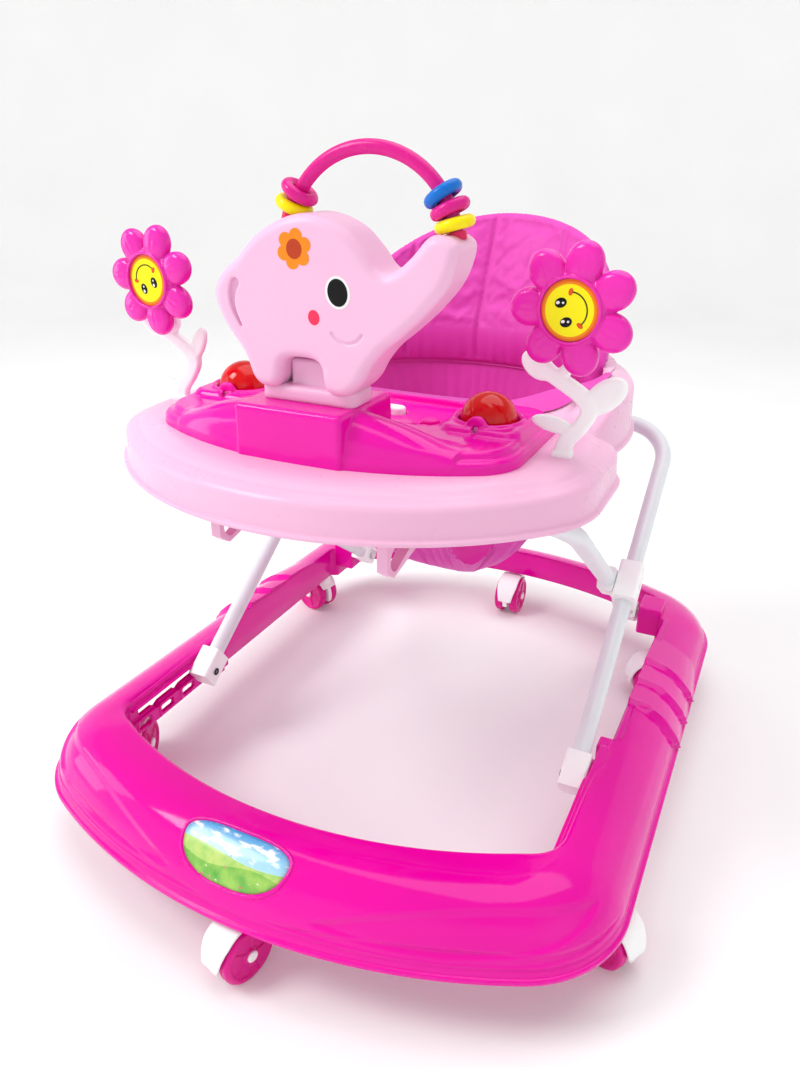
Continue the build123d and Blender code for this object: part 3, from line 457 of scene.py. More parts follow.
# ---- base ring -----------------------------------------------------------------------------------
# half width, front's y, radius and corner, rear's y, radius and corner
BASE_LOOP = (267, -352, 500, 95, 352, 450, 105)
OPENING_LOOP = (209, -285, 390, 34, 303, 420, 60)
BASE_FOOT_Z, WALL, SKIN_IN, SHOULDER = 56.0, 3.5, 3.0, 49.0


def soft_step(x, start, end):
    t = np.clip((x - start) / (end - start), 0, 1)
    return t * t * (3 - 2 * t)


def base_top(y):
    return 45.0 - 22.0 / 704.0 * y


def inward(points, normals, loop):
    """How far each point is from an inner outline along its own normal."""
    reach = np.full(len(points), 40.0)
    for _ in range(40):
        reach += 0.8 * outline_field(points - normals * reach[:, None], loop)
    return reach


def scale_relief(y, z):
    """Three overlapping scales whose free edges face the front."""
    rise = np.zeros_like(y)
    for front in (-6.0, 36.0, 78.0):
        r = 36.0
        away = r - np.hypot(y - (front + r), (z - 84.0) * 0.95)
        inside = np.clip(away / 1.4, 0, 1)
        ramp_down = np.clip(1 - (y - front) / 62.0, 0, 1)
        rim = np.exp(-((away - 1.8) / 1.2) ** 2)
        rise = np.maximum(rise, inside * (5.4 * ramp_down) + rim * 1.0 * (y < front + 52))
    return rise


def base_shell():
    points, normals = bowed_loop(*BASE_LOOP, step=2.4)
    hole, _ = bowed_loop(*OPENING_LOOP, step=4.0)
    reach = inward(points, normals, hole)
    top = base_top(points[:, 1])
    side_rail = np.abs(points[:, 0]) > 240
    reach -= 9.0 * side_rail * soft_step(points[:, 1], -67, -64) * (1 - soft_step(points[:, 1], 188, 191))
    guide = side_rail * soft_step(points[:, 1], -222, -219) * (1 - soft_step(points[:, 1], -84, -81))
    foot = BASE_FOOT_Z + 44.0 * guide
    columns = []

    def add(inset, z):
        columns.append((np.broadcast_to(inset, len(points)), np.broadcast_to(z, len(points))))

    add(5.5, 56.3)
    add(0.6, 56.0)
    add(0.0, 56.8)
    add(0.0, 59.6)
    add(0.5, 60.6)
    add(1.6, 61.0)
    add(2.6, 61.2)
    add(3.05, 61.9)
    outer = len(columns)
    for turn in np.radians(np.concatenate([np.linspace(9, 30, 22), np.linspace(31.5, 90, 44)])):
        add(SKIN_IN + SHOULDER * (1 - math.cos(turn)), BASE_FOOT_Z + math.sin(turn) * top)
    inner = len(columns)
    for share in (0.35, 0.75):
        add(SKIN_IN + SHOULDER + (reach - 56.5) * share, BASE_FOOT_Z + top)
    for turn in np.radians(np.linspace(0, 90, 6)):
        add(reach - 4 * (1 - math.sin(turn)), 52 + top + 4 * math.cos(turn))
    add(reach, np.maximum(BASE_FOOT_Z + top * 0.55, foot + 1))
    add(reach, foot + 0.5)
    add(reach - 0.7, foot)
    add(reach - 2.8, foot)
    add(reach - WALL, foot + 1.0)
    add(reach - WALL, BASE_FOOT_Z - 4 + top)
    for turn in np.radians(np.linspace(80, 10, 10)):
        inset = np.minimum(SKIN_IN + 4 + SHOULDER * (1 - math.cos(turn)), reach - 5)
        add(inset, BASE_FOOT_Z + math.sin(turn) * (top - 4))
    inset = np.stack([c[0] for c in columns], 1)
    height = np.stack([c[1] for c in columns], 1)
    x = points[:, :1] - normals[:, :1] * inset
    y = points[:, 1:] - normals[:, 1:] * inset
    grid = np.stack([x, y, height], -1)
    # relief on the outer skin, along the skin's own normal
    skin = slice(outer, inner)
    along = np.gradient(grid[:, skin], axis=0)
    across = np.gradient(grid[:, skin], axis=1)
    out = np.cross(along, across)
    out /= np.linalg.norm(out, axis=-1, keepdims=True)
    out *= np.sign((out * np.stack([np.broadcast_to(normals[:, :1], inset[:, skin].shape),
                                    np.broadcast_to(normals[:, 1:], inset[:, skin].shape),
                                    np.full(inset[:, skin].shape, 0.5)], -1)).sum(-1, keepdims=True))
    px, py, pz = np.moveaxis(grid[:, skin], -1, 0)
    side = np.abs(px) > 200
    rise = np.where(side & (py > -30) & (py < 170), scale_relief(py, pz), 0)
    # bead line above the flange
    rise -= 0.9 * np.exp(-((pz - 66.5) / 0.9) ** 2)
    # long leaf-shaped scoop either side of the label, sweeping round the corner
    run = np.cumsum(np.linalg.norm(np.diff(points, axis=0, prepend=points[:1]), axis=1))
    run = np.minimum(run, run[-1] - run)[:, None]
    share = np.clip((run - 62) / 235, 0, 1)
    middle = 80 + 14 * share
    half_width = 15 * np.sin(math.pi * np.clip(share, 0, 1)) ** 0.7 + 1e-3
    leaf = np.clip((half_width - np.abs(pz - middle)) / 4.0, 0, 1)
    rise -= 2.4 * leaf * (share > 0) * (share < 1)
    low_share = np.clip((run - 20) / 300, 0, 1)
    low_width = 5.5 * np.sin(math.pi * low_share) ** 0.8 + 1e-3
    swoosh = np.clip((low_width - np.abs(pz - 71.5 - 3 * low_share)) / 2.0, 0, 1)
    rise -= 1.3 * swoosh * (low_share > 0) * (low_share < 1)
    grid[:, skin] += out * rise[..., None]
    return grid_mesh("base_shell", grid)


place(base_shell(), "base", HOT_PINK, "base_pink", ["base_ring"])


def guide_field(p):
    """Slotted wall that the front foot slides in, its stop block, and the rear leg's bracket box."""
    q = np.column_stack([np.abs(p[:, 0]), p[:, 1:]])
    x, y, z = q.T
    wall = box_field(q, (209, -149, 84.5), (2.2, 69, 19.5), 0.8)
    rail = np.minimum(box_field(q, (207.5, -155, 97.2), (4.6, 60, 1.3), 0.8),
                      box_field(q, (207.5, -155, 82.4), (4.6, 60, 1.3), 0.8))
    body = smin(wall, rail, 1.2)
    for place_y in range(-208, -90, 16):
        body = smin(body, box_field(q, (207.2, place_y, 73.5), (1.6, 1.1, 7.5), 0.5), 1.0)
    body = np.minimum(body, box_field(q, (211.5, -149, 102.5), (4.5, 69, 2.0), 0.8))
    slot = box_field(q, (207, -155, 90), (9, 50, 4.6), 2.0)
    for place_y in (-115, -148, -181):
        slot = np.minimum(slot, np.hypot(y - place_y, z - 87) - 4.9)
    body = smax(body, -np.maximum(slot, np.abs(x - 207) - 9), 0.6)
    for place_y in (-198, -164, -131):
        body = smax(body, -box_field(q, (209, place_y, 73), (6, 9, 4), 1.5), 0.6)
    body = np.minimum(body, box_field(q, (209.5, -74, 84), (6, 8.5, 20), 2.2))
    hollow = box_field(q, (200, 208, 83), (10.2, 15.2, 17.5), 1.0)
    bracket = smax(box_field(q, (200, 208, 87), (13, 18, 17), 2.5), -hollow, 0.8)
    bracket = np.maximum(bracket, -np.maximum(np.hypot(y - 206, z - 90) - 4.4, np.abs(x - 200) - 30))
    return np.minimum(body, bracket)


def build_guides():
    for side, name in ((1, "right"), (-1, "left")):
        low, high = sorted((side * 180, side * 222))
        for part, y0, y1 in (("slide_guide", -226, -60), ("rear_bracket", 184, 232)):
            carved(f"{part}_{name}", guide_field, (low, y0, 60), (high, y1, 108), 1.1,
                   "base", HOT_PINK, "base_pink")


build_guides()


# ---- label ---------------------------------------------------------------------------------------
def skin_point(run, turn, out=0.0):
    """Place on the bumper's front skin: run along the outline from the middle, turn up the shoulder."""
    def on(u, t):
        lean = u / 500.0
        inset = SKIN_IN + SHOULDER * (1 - np.cos(t))
        x, y = 500 * np.sin(lean), 148 - 500 * np.cos(lean)
        z = BASE_FOOT_Z + np.sin(t) * base_top(y)
        return np.stack([x - np.sin(lean) * inset, y + np.cos(lean) * inset, z], -1)

    spot = on(run, turn)
    normal = np.cross(on(run + 0.5, turn) - spot, on(run, turn + 0.01) - spot)
    return spot + normal / np.linalg.norm(normal, axis=-1, keepdims=True) * np.asarray(out)[..., None]


LABEL_MIDDLE, LABEL_TURN, MM_PER_TURN = -12.0, math.radians(54), 52.7


def label_outline(grow=0.0, count=120):
    t = np.linspace(0, 2 * math.pi, count, endpoint=False)
    c, sn = np.cos(t), np.sin(t)
    across = np.sign(c) * np.abs(c) ** 0.72
    up = np.sign(sn) * np.abs(sn) ** 0.8
    return np.column_stack([across * (48.0 + 8.0 * up + grow), up * (21.0 + grow) - 1.0])


def on_label(flat, out):
    return skin_point(LABEL_MIDDLE + flat[..., 0], LABEL_TURN + flat[..., 1] / MM_PER_TURN, out)


def math_node(tree, operation, a, b=None):
    node = tree.nodes.new("ShaderNodeMath")
    node.operation = operation
    for socket, value in zip(node.inputs, (a, b)):
        if hasattr(value, "is_linked") or hasattr(value, "links"):
            tree.links.new(value, socket)
        elif value is not None:
            socket.default_value = value
    return node.outputs[0]


def mixed(tree, share, low, high):
    node = tree.nodes.new("ShaderNodeMix")
    node.data_type = "RGBA"
    tree.links.new(share, node.inputs[0])
    for socket, value in ((node.inputs[6], low), (node.inputs[7], high)):
        if hasattr(value, "__len__"):
            socket.default_value = (*value, 1)
        else:
            tree.links.new(value, socket)
    return node.outputs[2]


def label_print(name):
    """Printed landscape: blue sky with clouds over rolling green hills with small flowers."""
    material, tree, shader = node_material(name)
    uv = tree.nodes.new("ShaderNodeTexCoord").outputs["UV"]
    split = tree.nodes.new("ShaderNodeSeparateXYZ")
    tree.links.new(uv, split.inputs[0])
    across, up = split.outputs[0], split.outputs[1]
    sky = ramp(tree, up, linear(176, 226, 240), linear(70, 160, 222), 0.45, 0.95)
    puff = tree.nodes.new("ShaderNodeTexNoise")
    puff.inputs["Scale"].default_value = 7.0
    puff.inputs["Detail"].default_value = 5.0
    tree.links.new(uv, puff.inputs["Vector"])
    sky = mixed(tree, ramp(tree, puff.outputs["Fac"], 0.0, 1.0, 0.52, 0.64), sky, linear(252, 252, 252))
    for level, swing, rate, shift, low, high in (
            (0.52, 0.05, 6.0, 0.4, linear(150, 206, 96), linear(206, 226, 128)),
            (0.36, 0.07, 8.0, 2.2, linear(88, 174, 66), linear(160, 208, 92))):
        phase = math_node(tree, "ADD", math_node(tree, "MULTIPLY", across, rate), shift)
        wave = math_node(tree, "SINE", phase)
        crest = math_node(tree, "ADD", math_node(tree, "MULTIPLY", wave, swing), level)
        under = math_node(tree, "SUBTRACT", crest, up)
        grass = ramp(tree, noise_node(tree, 90.0, 3.0), low, high)
        sky = mixed(tree, ramp(tree, under, 0.0, 1.0, 0.0, 0.012), sky, grass)
    for scale, colour, shift in ((9.0, linear(240, 96, 130), 0.34), (13.0, linear(255, 250, 240), 0.3)):
        dots = tree.nodes.new("ShaderNodeTexVoronoi")
        dots.inputs["Scale"].default_value = scale
        tree.links.new(uv, dots.inputs["Vector"])
        spot = ramp(tree, dots.outputs["Distance"], 1.0, 0.0, 0.10, 0.13)
        low_part = ramp(tree, up, 1.0, 0.0, shift, shift + 0.03)
        sky = mixed(tree, math_node(tree, "MULTIPLY", spot, low_part), sky, colour)
    tree.links.new(sky, shader.inputs["Base Color"])
    speckled(tree, shader.inputs["Roughness"], 120.0, 0.18, 0.3)
    shader.inputs["Coat Weight"].default_value = 0.2
    bump(tree, shader, noise_node(tree, 500.0, 2.0), 0.04, 0.0003)
    return material


def build_label():
    rings = np.linspace(1, 0.004, 12)
    outline = label_outline()
    flat = np.stack([outline * share for share in rings])
    lift = np.where(rings > 0.99, 0.1, 0.45)[:, None]
    points = on_label(flat, np.broadcast_to(lift, flat.shape[:2]))
    under = on_label(outline, np.full(len(outline), -0.8))
    grid = np.concatenate([under[None], points])
    count = grid.shape[1]
    quads = [tuple(q) for q in strip_faces(grid.shape[0], count, False, True)]
    quads.append(tuple((grid.shape[0] - 1) * count + k for k in range(count)))
    quads.append(tuple(reversed(range(count))))
    label = make_mesh("front_label", grid.reshape(-1, 3).tolist(), quads)
    flat_all = np.concatenate([outline[None], flat]).reshape(-1, 2)
    layer = label.data.uv_layers.new(name="print")
    spots = np.array([loop.vertex_index for loop in label.data.loops])
    shares = np.column_stack([flat_all[spots, 0] / 112, (flat_all[spots, 1] + 1) / 44]) + 0.5
    layer.data.foreach_set("uv", shares.ravel())
    place(label, "base", label_print("landscape_print"), "decal_print", ["front_decal_plate"])
    # raised rim round the label
    turns = np.linspace(0, 2 * math.pi, 12, endpoint=False)
    rim = np.stack([on_label(label_outline(1.9 + 1.5 * math.cos(a)), np.full(120, 0.1 + 1.1 * math.sin(a)))
                    for a in turns], 1)
    rim_mesh = make_mesh("label_rim", rim.reshape(-1, 3), strip_faces(120, 12, True, True))
    place(rim_mesh, "base", HOT_PINK, "base_pink")


build_label()

# ---- casters -------------------------------------------------------------------------------------
CASTERS = {"front_centre": (0, -322, 76), "front_right": (236, -194, 150), "front_left": (-236, -194, -70),
           "rear_right": (228, 190, 31), "rear_left": (-228, 190, -16), "rear_centre": (0, 320, 90)}
AXLE = (-18.0, 0.0, 24.5)


def wheel_field(p):
    side = np.abs(p[:, 1])
    r = np.hypot(p[:, 0] - AXLE[0], p[:, 2] - AXLE[2])
    body = plate(r - 24.5, side - 10, 5.4, 3.2)
    dish = np.hypot(np.maximum(np.abs(r - 12.5) - 4.6, 0), side - 16.6) - 2.6
    body = smax(body, -dish, 0.8)
    turn = np.arctan2(p[:, 2] - AXLE[2], p[:, 0] - AXLE[0])
    spoke = np.maximum(np.abs(np.sin(turn * 2.5)) * r - 1.5, np.maximum(np.abs(side - 13.0) - 2.2, r - 19))
    body = smin(body, spoke, 1.0)
    tread = np.hypot(np.maximum(np.abs(side - 10) - 0.2, 0), r - 24.8) - 0.7
    body = smax(body, -tread, 0.4)
    hub = plate(r - 6.0, side - 13.5, 2.6, 0.8)
    body = smin(body, hub, 0.8)
    return np.maximum(body, 2.55 - r)


def hood_field(p):
    x, y, z = p.T
    r = np.hypot(x - AXLE[0], z - AXLE[2])
    fender = np.abs(r - 27.1) - 1.3
    flare = np.clip((z - 24) / 20, 0, 1)
    fender = smax(fender, np.abs(y) - (8.5 + 4.5 * flare), 1.2)
    fender = smax(fender, 30 - z - 6 * np.clip((-18 - x) / 20, -1, 1), 1.5)
    web = smax(np.maximum(r - 26.5, np.abs(y) - 2.9), 15 - z, 1.5)
    body = smin(fender, web, 2.0)
    neck = plate(np.hypot(x, y) - 6.8, z - 49.5, 5.0, 1.4)
    body = smin(body, neck, 5.0)
    body = np.maximum(body, z - 55)
    body = np.maximum(body, -np.maximum(np.hypot(x, y) - 3.5, 38 - z))
    return np.maximum(body, 2.5 - r)


def cap_field(p):
    r = np.hypot(p[:, 0] - AXLE[0], p[:, 2] - AXLE[2])
    return plate(r - 4.8, np.abs(p[:, 1]) - 16.6, 1.3, 1.1)


def build_casters():
    shapes = (("hood", hood_field, (-48, -16, 8), (10, 16, 58), 0.9, WHITE, "white_plastic"),
              ("wheels", wheel_field, (-44, -17, -1), (8, 17, 51), 0.9, WHEEL_PINK, "wheel_pink"),
              ("caps", cap_field, (-24, -20, 18), (-12, 20, 31), 0.8, WHITE, "white_plastic"))
    for kind, field, low, high, step, material, slot in shapes:
        points, quads = net(field, low, high, step)
        for name, (cx, cy, yaw) in CASTERS.items():
            c, sn = math.cos(math.radians(yaw)), math.sin(math.radians(yaw))
            spun = points @ np.array([[c, sn, 0], [-sn, c, 0], [0, 0, 1]]) + (cx, cy, 0)
            body = f"wheels_{name}" if kind == "wheels" else f"caster_{name}"
            place(make_mesh(f"{kind}_{name}", spun, quads), body, material, slot,
                  [] if kind == "caps" else [f"caster_{name}_{kind}"])


build_casters()


def build_screws():
    """Dark cross-head screws in the white blocks at the front feet."""
    def field(p):
        x = np.abs(p[:, 0])
        y, z = p[:, 1] + 115, p[:, 2] - 90
        head = plate(np.hypot(y, z) - 3.7, x - 182.3, 0.9, 0.5)
        cross = np.maximum(np.minimum(np.abs(y) - 0.5, np.abs(z) - 0.5), np.hypot(y, z) - 2.2)
        return np.maximum(head, -np.maximum(cross, x - 182.2))

    for side, name in ((1, "right"), (-1, "left")):
        low, high = sorted((side * 180, side * 185))
        carved(f"foot_screw_{name}", field, (low, -120, 85), (high, -110, 95), 0.5,
               "front_leg", DARK, "steel")


build_screws()


# ---- tray ----------------------------------------------------------------------------------------
TRAY_HEART = np.array([0.0, -20.0])
SEAT_MIDDLE, SEAT_HALF = np.array([0.0, 62.0]), np.array([148.0, 118.0])
RING_MIDDLE, RING_HALF = np.array([0.0, 10.0]), np.array([184.0, 205.0])


def ellipse_reach(start, ways, middle, half):
    """Distance from a point to an ellipse along unit directions."""
    o, d = (start - middle) / half, ways / half
    a, b, c = (d**2).sum(axis=1), (d * o).sum(axis=1), (o**2).sum() - 1
    return (-b + np.sqrt(b**2 - a * c)) / a


def opening_reach(start, ways, grow=0.0):
    """Distance to the seat opening's edge: an ellipse behind, squarer in front, along unit directions."""
    low, high = np.zeros(len(ways)), np.full(len(ways), 400.0)
    for _ in range(40):
        middle = (low + high) / 2
        q = np.abs((start + ways * middle[:, None] - SEAT_MIDDLE) / (SEAT_HALF + grow))
        ahead = (start + ways * middle[:, None])[:, 1] < SEAT_MIDDLE[1]
        power = np.where(ahead, 2.9, 2.0)
        inside = q[:, 0] ** power + q[:, 1] ** power < 1
        low, high = np.where(inside, middle, low), np.where(inside, high, middle)
    return low


def tray_outline(step=2.6):
    """Outline of the front D and the oval ring, joined by soft waists: points and outward normals."""
    front, _ = bowed_loop(200, -293, 235, 80, -58, 10000, 42, step=1.5)
    start = np.array([0.0, -62.0])
    turns = np.linspace(0, 2 * math.pi, 2880, endpoint=False)
    ways = np.stack([np.sin(turns), -np.cos(turns)], 1)
    q = front - start
    bearing = np.unwrap(np.arctan2(q[:, 0], -q[:, 1]))
    order = np.argsort(bearing % (2 * math.pi))
    reach = np.interp(turns, (bearing % (2 * math.pi))[order], np.hypot(*q.T)[order], period=2 * math.pi)
    reach = smax(reach, ellipse_reach(start, ways, RING_MIDDLE, RING_HALF), 7.0)
    loop = start + ways * reach[:, None]
    run = np.concatenate([[0], np.cumsum(np.linalg.norm(np.diff(loop, axis=0, append=loop[:1]), axis=1))])
    count = int(run[-1] / step)
    at = np.arange(count) * run[-1] / count
    closed = np.concatenate([loop, loop[:1]])
    points = np.stack([np.interp(at, run, closed[:, k]) for k in (0, 1)], 1)
    for _ in range(6):
        points = (np.roll(points, 1, 0) + np.roll(points, -1, 0) + 2 * points) / 4
    along = np.roll(points, -1, 0) - np.roll(points, 1, 0)
    normals = np.stack([along[:, 1], -along[:, 0]], 1)
    return points, normals / np.linalg.norm(normals, axis=1, keepdims=True)


def tray_moulding():
    points, normals = tray_outline()
    lift = 16 * soft_step(points[:, 1], -66, -22)
    columns = []

    def add(inset, z):
        inset = np.broadcast_to(inset, len(points))
        columns.append(np.column_stack([points - normals * inset[:, None], np.broadcast_to(z, len(points))]))

    for inset, z in ((5.5, 354.4), (0.8, 354.0), (0.0, 354.7), (0.0, 356.4), (0.5, 357.2), (1.8, 357.5),
                     (2.7, 357.9), (3.0, 358.8)):
        add(inset, z)
    for share in np.linspace(0.1, 1, 9):
        add(3.0 + 0.8 * share, 358.8 + (16 + lift) * share)
    for turn in np.radians(np.linspace(8, 72, 9)):
        shoulder_in, shoulder_z = 3.8 + 9 * (1 - math.cos(turn)), 374.8 + 9 * math.sin(turn) * 0.78
        add(shoulder_in, shoulder_z + lift)
    for share in np.linspace(0.05, 1, 16):
        dip = 0.9 * math.exp(-((share - 0.22) / 0.09) ** 2)
        rise = 1 - (1 - share) ** 2.2
        add(shoulder_in + 22 * share, shoulder_z + lift + (388.0 - shoulder_z) * rise - dip * (1 - lift / 18))
    edge = columns[-1][:, :2]
    ways = edge - TRAY_HEART
    reach = np.linalg.norm(ways, axis=1)
    ways /= reach[:, None]
    hole = opening_reach(TRAY_HEART, ways)
    lip = 7.0

    def top(p):
        return 388.0 + 16 * soft_step(p[:, 1], -66, -22)

    for share in np.linspace(0, 1, 26)[1:]:
        p = TRAY_HEART + ways * (reach + (hole + lip - reach) * share)[:, None]
        columns.append(np.column_stack([p, top(p)]))
    rim = TRAY_HEART + ways * hole[:, None]
    for turn in np.radians(np.linspace(10, 90, 8)):
        p = rim + ways * (lip * (1 - math.sin(turn)))
        columns.append(np.column_stack([p, top(p) - lip * (1 - math.cos(turn))]))
    for inset, z in ((0, 372.0), (0, 355.0), (0.8, 354.2), (2.4, 354.2), (3.0, 355.0), (3.0, 372.0)):
        columns.append(np.column_stack([rim + ways * inset, np.full(len(rim), z)]))
    columns.append(np.column_stack([rim + ways * 6, top(rim) - 5]))
    columns.append(np.column_stack([edge, top(edge) - 4]))
    add(8.5, 372 + lift)
    add(6.2, 360.0)
    grid = np.stack(columns, 1)
    return grid_mesh("tray_moulding", grid)


place(tray_moulding(), "tray", PALE_PINK, "tray_pink", ["tray_shell"])

# ---- toy tray ------------------------------------------------------------------------------------
BALLS = {"right": (107.0, -137.0, 404.0), "left": (-107.0, -137.0, 404.0)}
BUTTONS = {"1": (44, -146), "2": (61, -152), "3": (58, -131)}
SWITCH = (15.0, -113.0)


def toy_outline():
    loop, _ = bowed_loop(148, -246, 262, 40, -71, 10000, 30, step=4.0)
    return loop


def toy_field(p):
    loop = toy_outline()
    x, y, z = p.T
    flat = outline_field(p[:, :2], loop)
    lower = plate(flat + np.clip(z - 384, 0, None) * 0.12, z - 389, 7.5, 3.0)
    upper = plate(flat + 5.5 + np.clip(z - 390, 0, None) * 0.3, z - 392, 9.5, 2.4)
    body = smin(lower, upper, 2.5)
    mirror = np.column_stack([np.abs(x), y, z])
    side = np.abs(x)
    # convex ramps from the riser down to the ball pods
    share = np.clip((side - 40) / 70, 0, 1)
    height = 35 * (1 - share) + 13 * share + 2.0 * np.sin(math.pi * share)
    depth = 27 - 5 * share
    ramp_body = np.hypot((y + 217 - 9 * share) / depth, (z - 388) / height) - 1
    ramp_body = ramp_body * np.minimum(depth, height) * 0.8
    ramp_body = np.maximum(ramp_body, side - 112)
    ramp_body = smax(ramp_body, flat + 1.5, 4.0)
    ramp_body = np.maximum(ramp_body, 383 - z)
    body = smin(body, ramp_body, 3.0)
    # pod round each ball, with an ear either end of its axle
    pod = plate(np.linalg.norm(np.maximum(np.abs(mirror[:, :2] - (109, -138)) - (18, 20), 0), axis=1) - 14
                + np.clip(z - 396, 0, None) * 0.35, z - 395, 10.5, 3.0)
    body = smin(body, pod, 2.5)
    riser = box_field(p, (0, -205, 404.5), (42, 40, 20.5), 3.5)
    body = smin(body, riser, 1.6)
    play = plate(np.linalg.norm(np.maximum(np.abs(p[:, :2] - (0, -121)) - (62, 30), 0), axis=1) - 10
                 - np.clip(z - 392, 0, None) * 0.25, z - 412, 20, 1.0)
    body = smax(body, -play, 1.8)
    for dy in (-1, 1):
        ear = np.minimum(disc_field(mirror, (107, -137 + dy * 25.4, 405.5), (0, 1, 0), 7.5, 2.6, 1.2),
                         box_field(mirror, (107, -137 + dy * 25.4, 398.5), (7.5, 2.6, 6.5), 1.2))
        body = smin(body, ear, 1.5)
    body = smax(body, -ball_field(mirror, BALLS["right"], 22.4), 1.0)
    rim = np.abs(np.linalg.norm(mirror[:, :2] - (107, -137), axis=1) - 25.5) - 1.5
    body = smin(body, plate(rim, z - 402, 5.2, 1.0), 1.4)
    body = np.maximum(body, -disc_field(mirror, (107, -137, 420), (0, 0, 1), 22.6, 24))
    body = np.maximum(body, -rod_field(mirror, (107, -180, 404), (107, -90, 404), 2.3))
    for bx, by in BUTTONS.values():
        body = np.maximum(body, -disc_field(p, (bx, by, 392), (0, 0, 1), 7.6, 13))
        collar = np.abs(np.hypot(x - bx, y - by) - 9.0) - 1.0
        body = smin(body, plate(collar, z - 392, 1.4, 0.6), 0.8)
    oval = np.linalg.norm(np.maximum(np.abs(p[:, :2] - SWITCH) - (7, 0), 0), axis=1)
    body = np.maximum(body, -np.maximum(oval - 6.6, np.abs(z - 392) - 13))
    return np.maximum(body, -box_field(p, (0, -205, 392), (37, 35, 29)))


carved("toy_tray_moulding", toy_field, (-158, -254, 380), (158, -64, 429), 1.25,
       "tray", TOY_PINK, "toy_pink", ["toy_tray"])


# ---- elephant ------------------------------------------------------------------------------------
ELEPHANT_Y, ELEPHANT_HALF, ELEPHANT_ROUND = -210.0, 20.0, 7.5
ELEPHANT_LOOP = smooth_line([
    (-36, 440), (-43, 457), (-57, 475), (-64, 494), (-57, 509), (-45, 519), (-28, 535), (-5, 546),
    (15, 548), (36, 541), (50, 529), (59, 518), (66, 515), (75, 519), (84, 527), (93, 537), (101, 539.5),
    (110, 537), (114, 530), (108, 511), (94, 493), (77, 477), (64, 466), (55, 455), (48, 443),
    (37, 434), (24, 434.5), (19.5, 442), (18, 451), (12, 456), (-5, 456), (-11, 451), (-13, 441),
    (-18, 434.5), (-28, 434),
], parts=5)
ARCH_MIDDLE, ARCH_RADIUS = np.array([47.0, -210.0, 527.0]), 60.0
TAIL_LINE = smooth_line([(-44.5, 503), (-47.5, 495), (-46.5, 485), (-41.5, 475)], closed=False, parts=4)
SMILE_LINE = smooth_line([(29, 476), (33, 472), (40, 470), (47, 472), (51, 476.5)], closed=False, parts=5)


def arch_point(angle, out=0.0):
    turn = math.radians(angle)
    return ARCH_MIDDLE + np.array([math.cos(turn), 0, math.sin(turn)]) * (ARCH_RADIUS + out)


def elephant_field(p):
    flat_points = p[:, [0, 2]]
    flat = outline_field(flat_points, ELEPHANT_LOOP)
    body = plate(flat, p[:, 1] - ELEPHANT_Y, ELEPHANT_HALF, ELEPHANT_ROUND)
    face = np.abs(p[:, 1] - ELEPHANT_Y) - ELEPHANT_HALF
    taper = np.clip((p[:, 2] - 476) / 27, 0, 1)
    tail = np.maximum(line_field(flat_points, TAIL_LINE) - (0.8 + 2.6 * taper), -face - 3.2)
    body = smax(body, -tail, 1.0)
    smile = np.hypot(line_field(flat_points, SMILE_LINE), face) - 1.1
    body = smax(body, -smile, 0.5)
    # hollows that the rings rest in
    spoke = np.hypot(p[:, 0] - ARCH_MIDDLE[0], p[:, 2] - ARCH_MIDDLE[2])
    turn = np.degrees(np.arctan2(p[:, 2] - ARCH_MIDDLE[2], p[:, 0] - ARCH_MIDDLE[0]))
    tube = np.hypot(spoke - ARCH_RADIUS, p[:, 1] - ELEPHANT_Y) - 13.4
    span = np.minimum(np.abs(turn - 24) - 12, np.abs(turn - 152.5) - 8.5) * 0.9
    return smax(body, -np.maximum(tube, span), 1.2)


carved("elephant_moulding", elephant_field, (-68, -234, 432), (118, -186, 552), 1.1,
       "tray", ELEPHANT_PINK, "tray_pink", ["elephant_body"])


def pedestal_field(p):
    slab = box_field(p, (4, -208, 430), (38, 17, 5.9), 4.5)
    beyond = np.maximum(np.abs(p[:, :2] - (4, -208)) - (25, 4), 0)
    slab = smax(slab, np.linalg.norm(beyond, axis=1) - 13.6, 2.0)
    block = box_field(p, (5, -207, 442), (17, 9.5, 11.5), 3.0)
    return np.maximum(smin(slab, block, 2.0), 424.6 - p[:, 2])


carved("elephant_stand", pedestal_field, (-46, -234, 423), (50, -186, 455), 1.1,
       "tray", ELEPHANT_PINK, "tray_pink", ["elephant_pedestal"])


def prints(name, outlines, spot, right, up, body, slot, lay=None, depth=0.35):
    """Thin printed patches: each outline is in right/up millimetres round spot, with its own material."""
    forward = np.cross(right, up)
    made = []
    for number, (outline, material, level) in enumerate(outlines):
        outline = np.asarray(outline, float)
        flat = np.asarray(spot) + outline[:, :1] * right + outline[:, 1:] * up
        back = 0 if lay is None else lay(flat)
        front = flat + forward * (depth * level) - (np.outer(back, forward) if lay is not None else 0)
        rear = front - forward * 1.2
        n = len(outline)
        faces = [tuple(range(n)), tuple(range(2 * n - 1, n - 1, -1))]
        faces += [(i, i + n, (i + 1) % n + n, (i + 1) % n) for i in range(n)]
        piece = make_mesh(f"{name}_{number}", np.concatenate([front, rear]), faces, smooth=False)
        place(piece, body, material, slot)
        made.append(piece)
    return made


def oval(cx, cy, rx, ry, turn=0.0, count=40):
    t = np.linspace(0, 2 * math.pi, count, endpoint=False)
    c, s = math.cos(turn), math.sin(turn)
    x, y = rx * np.cos(t), ry * np.sin(t)
    return np.column_stack([cx + x * c - y * s, cy + x * s + y * c])


def blossom(cx, cy, petals, reach, size, start=0.0, count=120):
    t = np.linspace(0, 2 * math.pi, count, endpoint=False)
    r = reach + size * np.abs(np.cos(petals * (t - start) / 2)) ** 0.7
    return np.column_stack([cx + r * np.cos(t), cy + r * np.sin(t)])


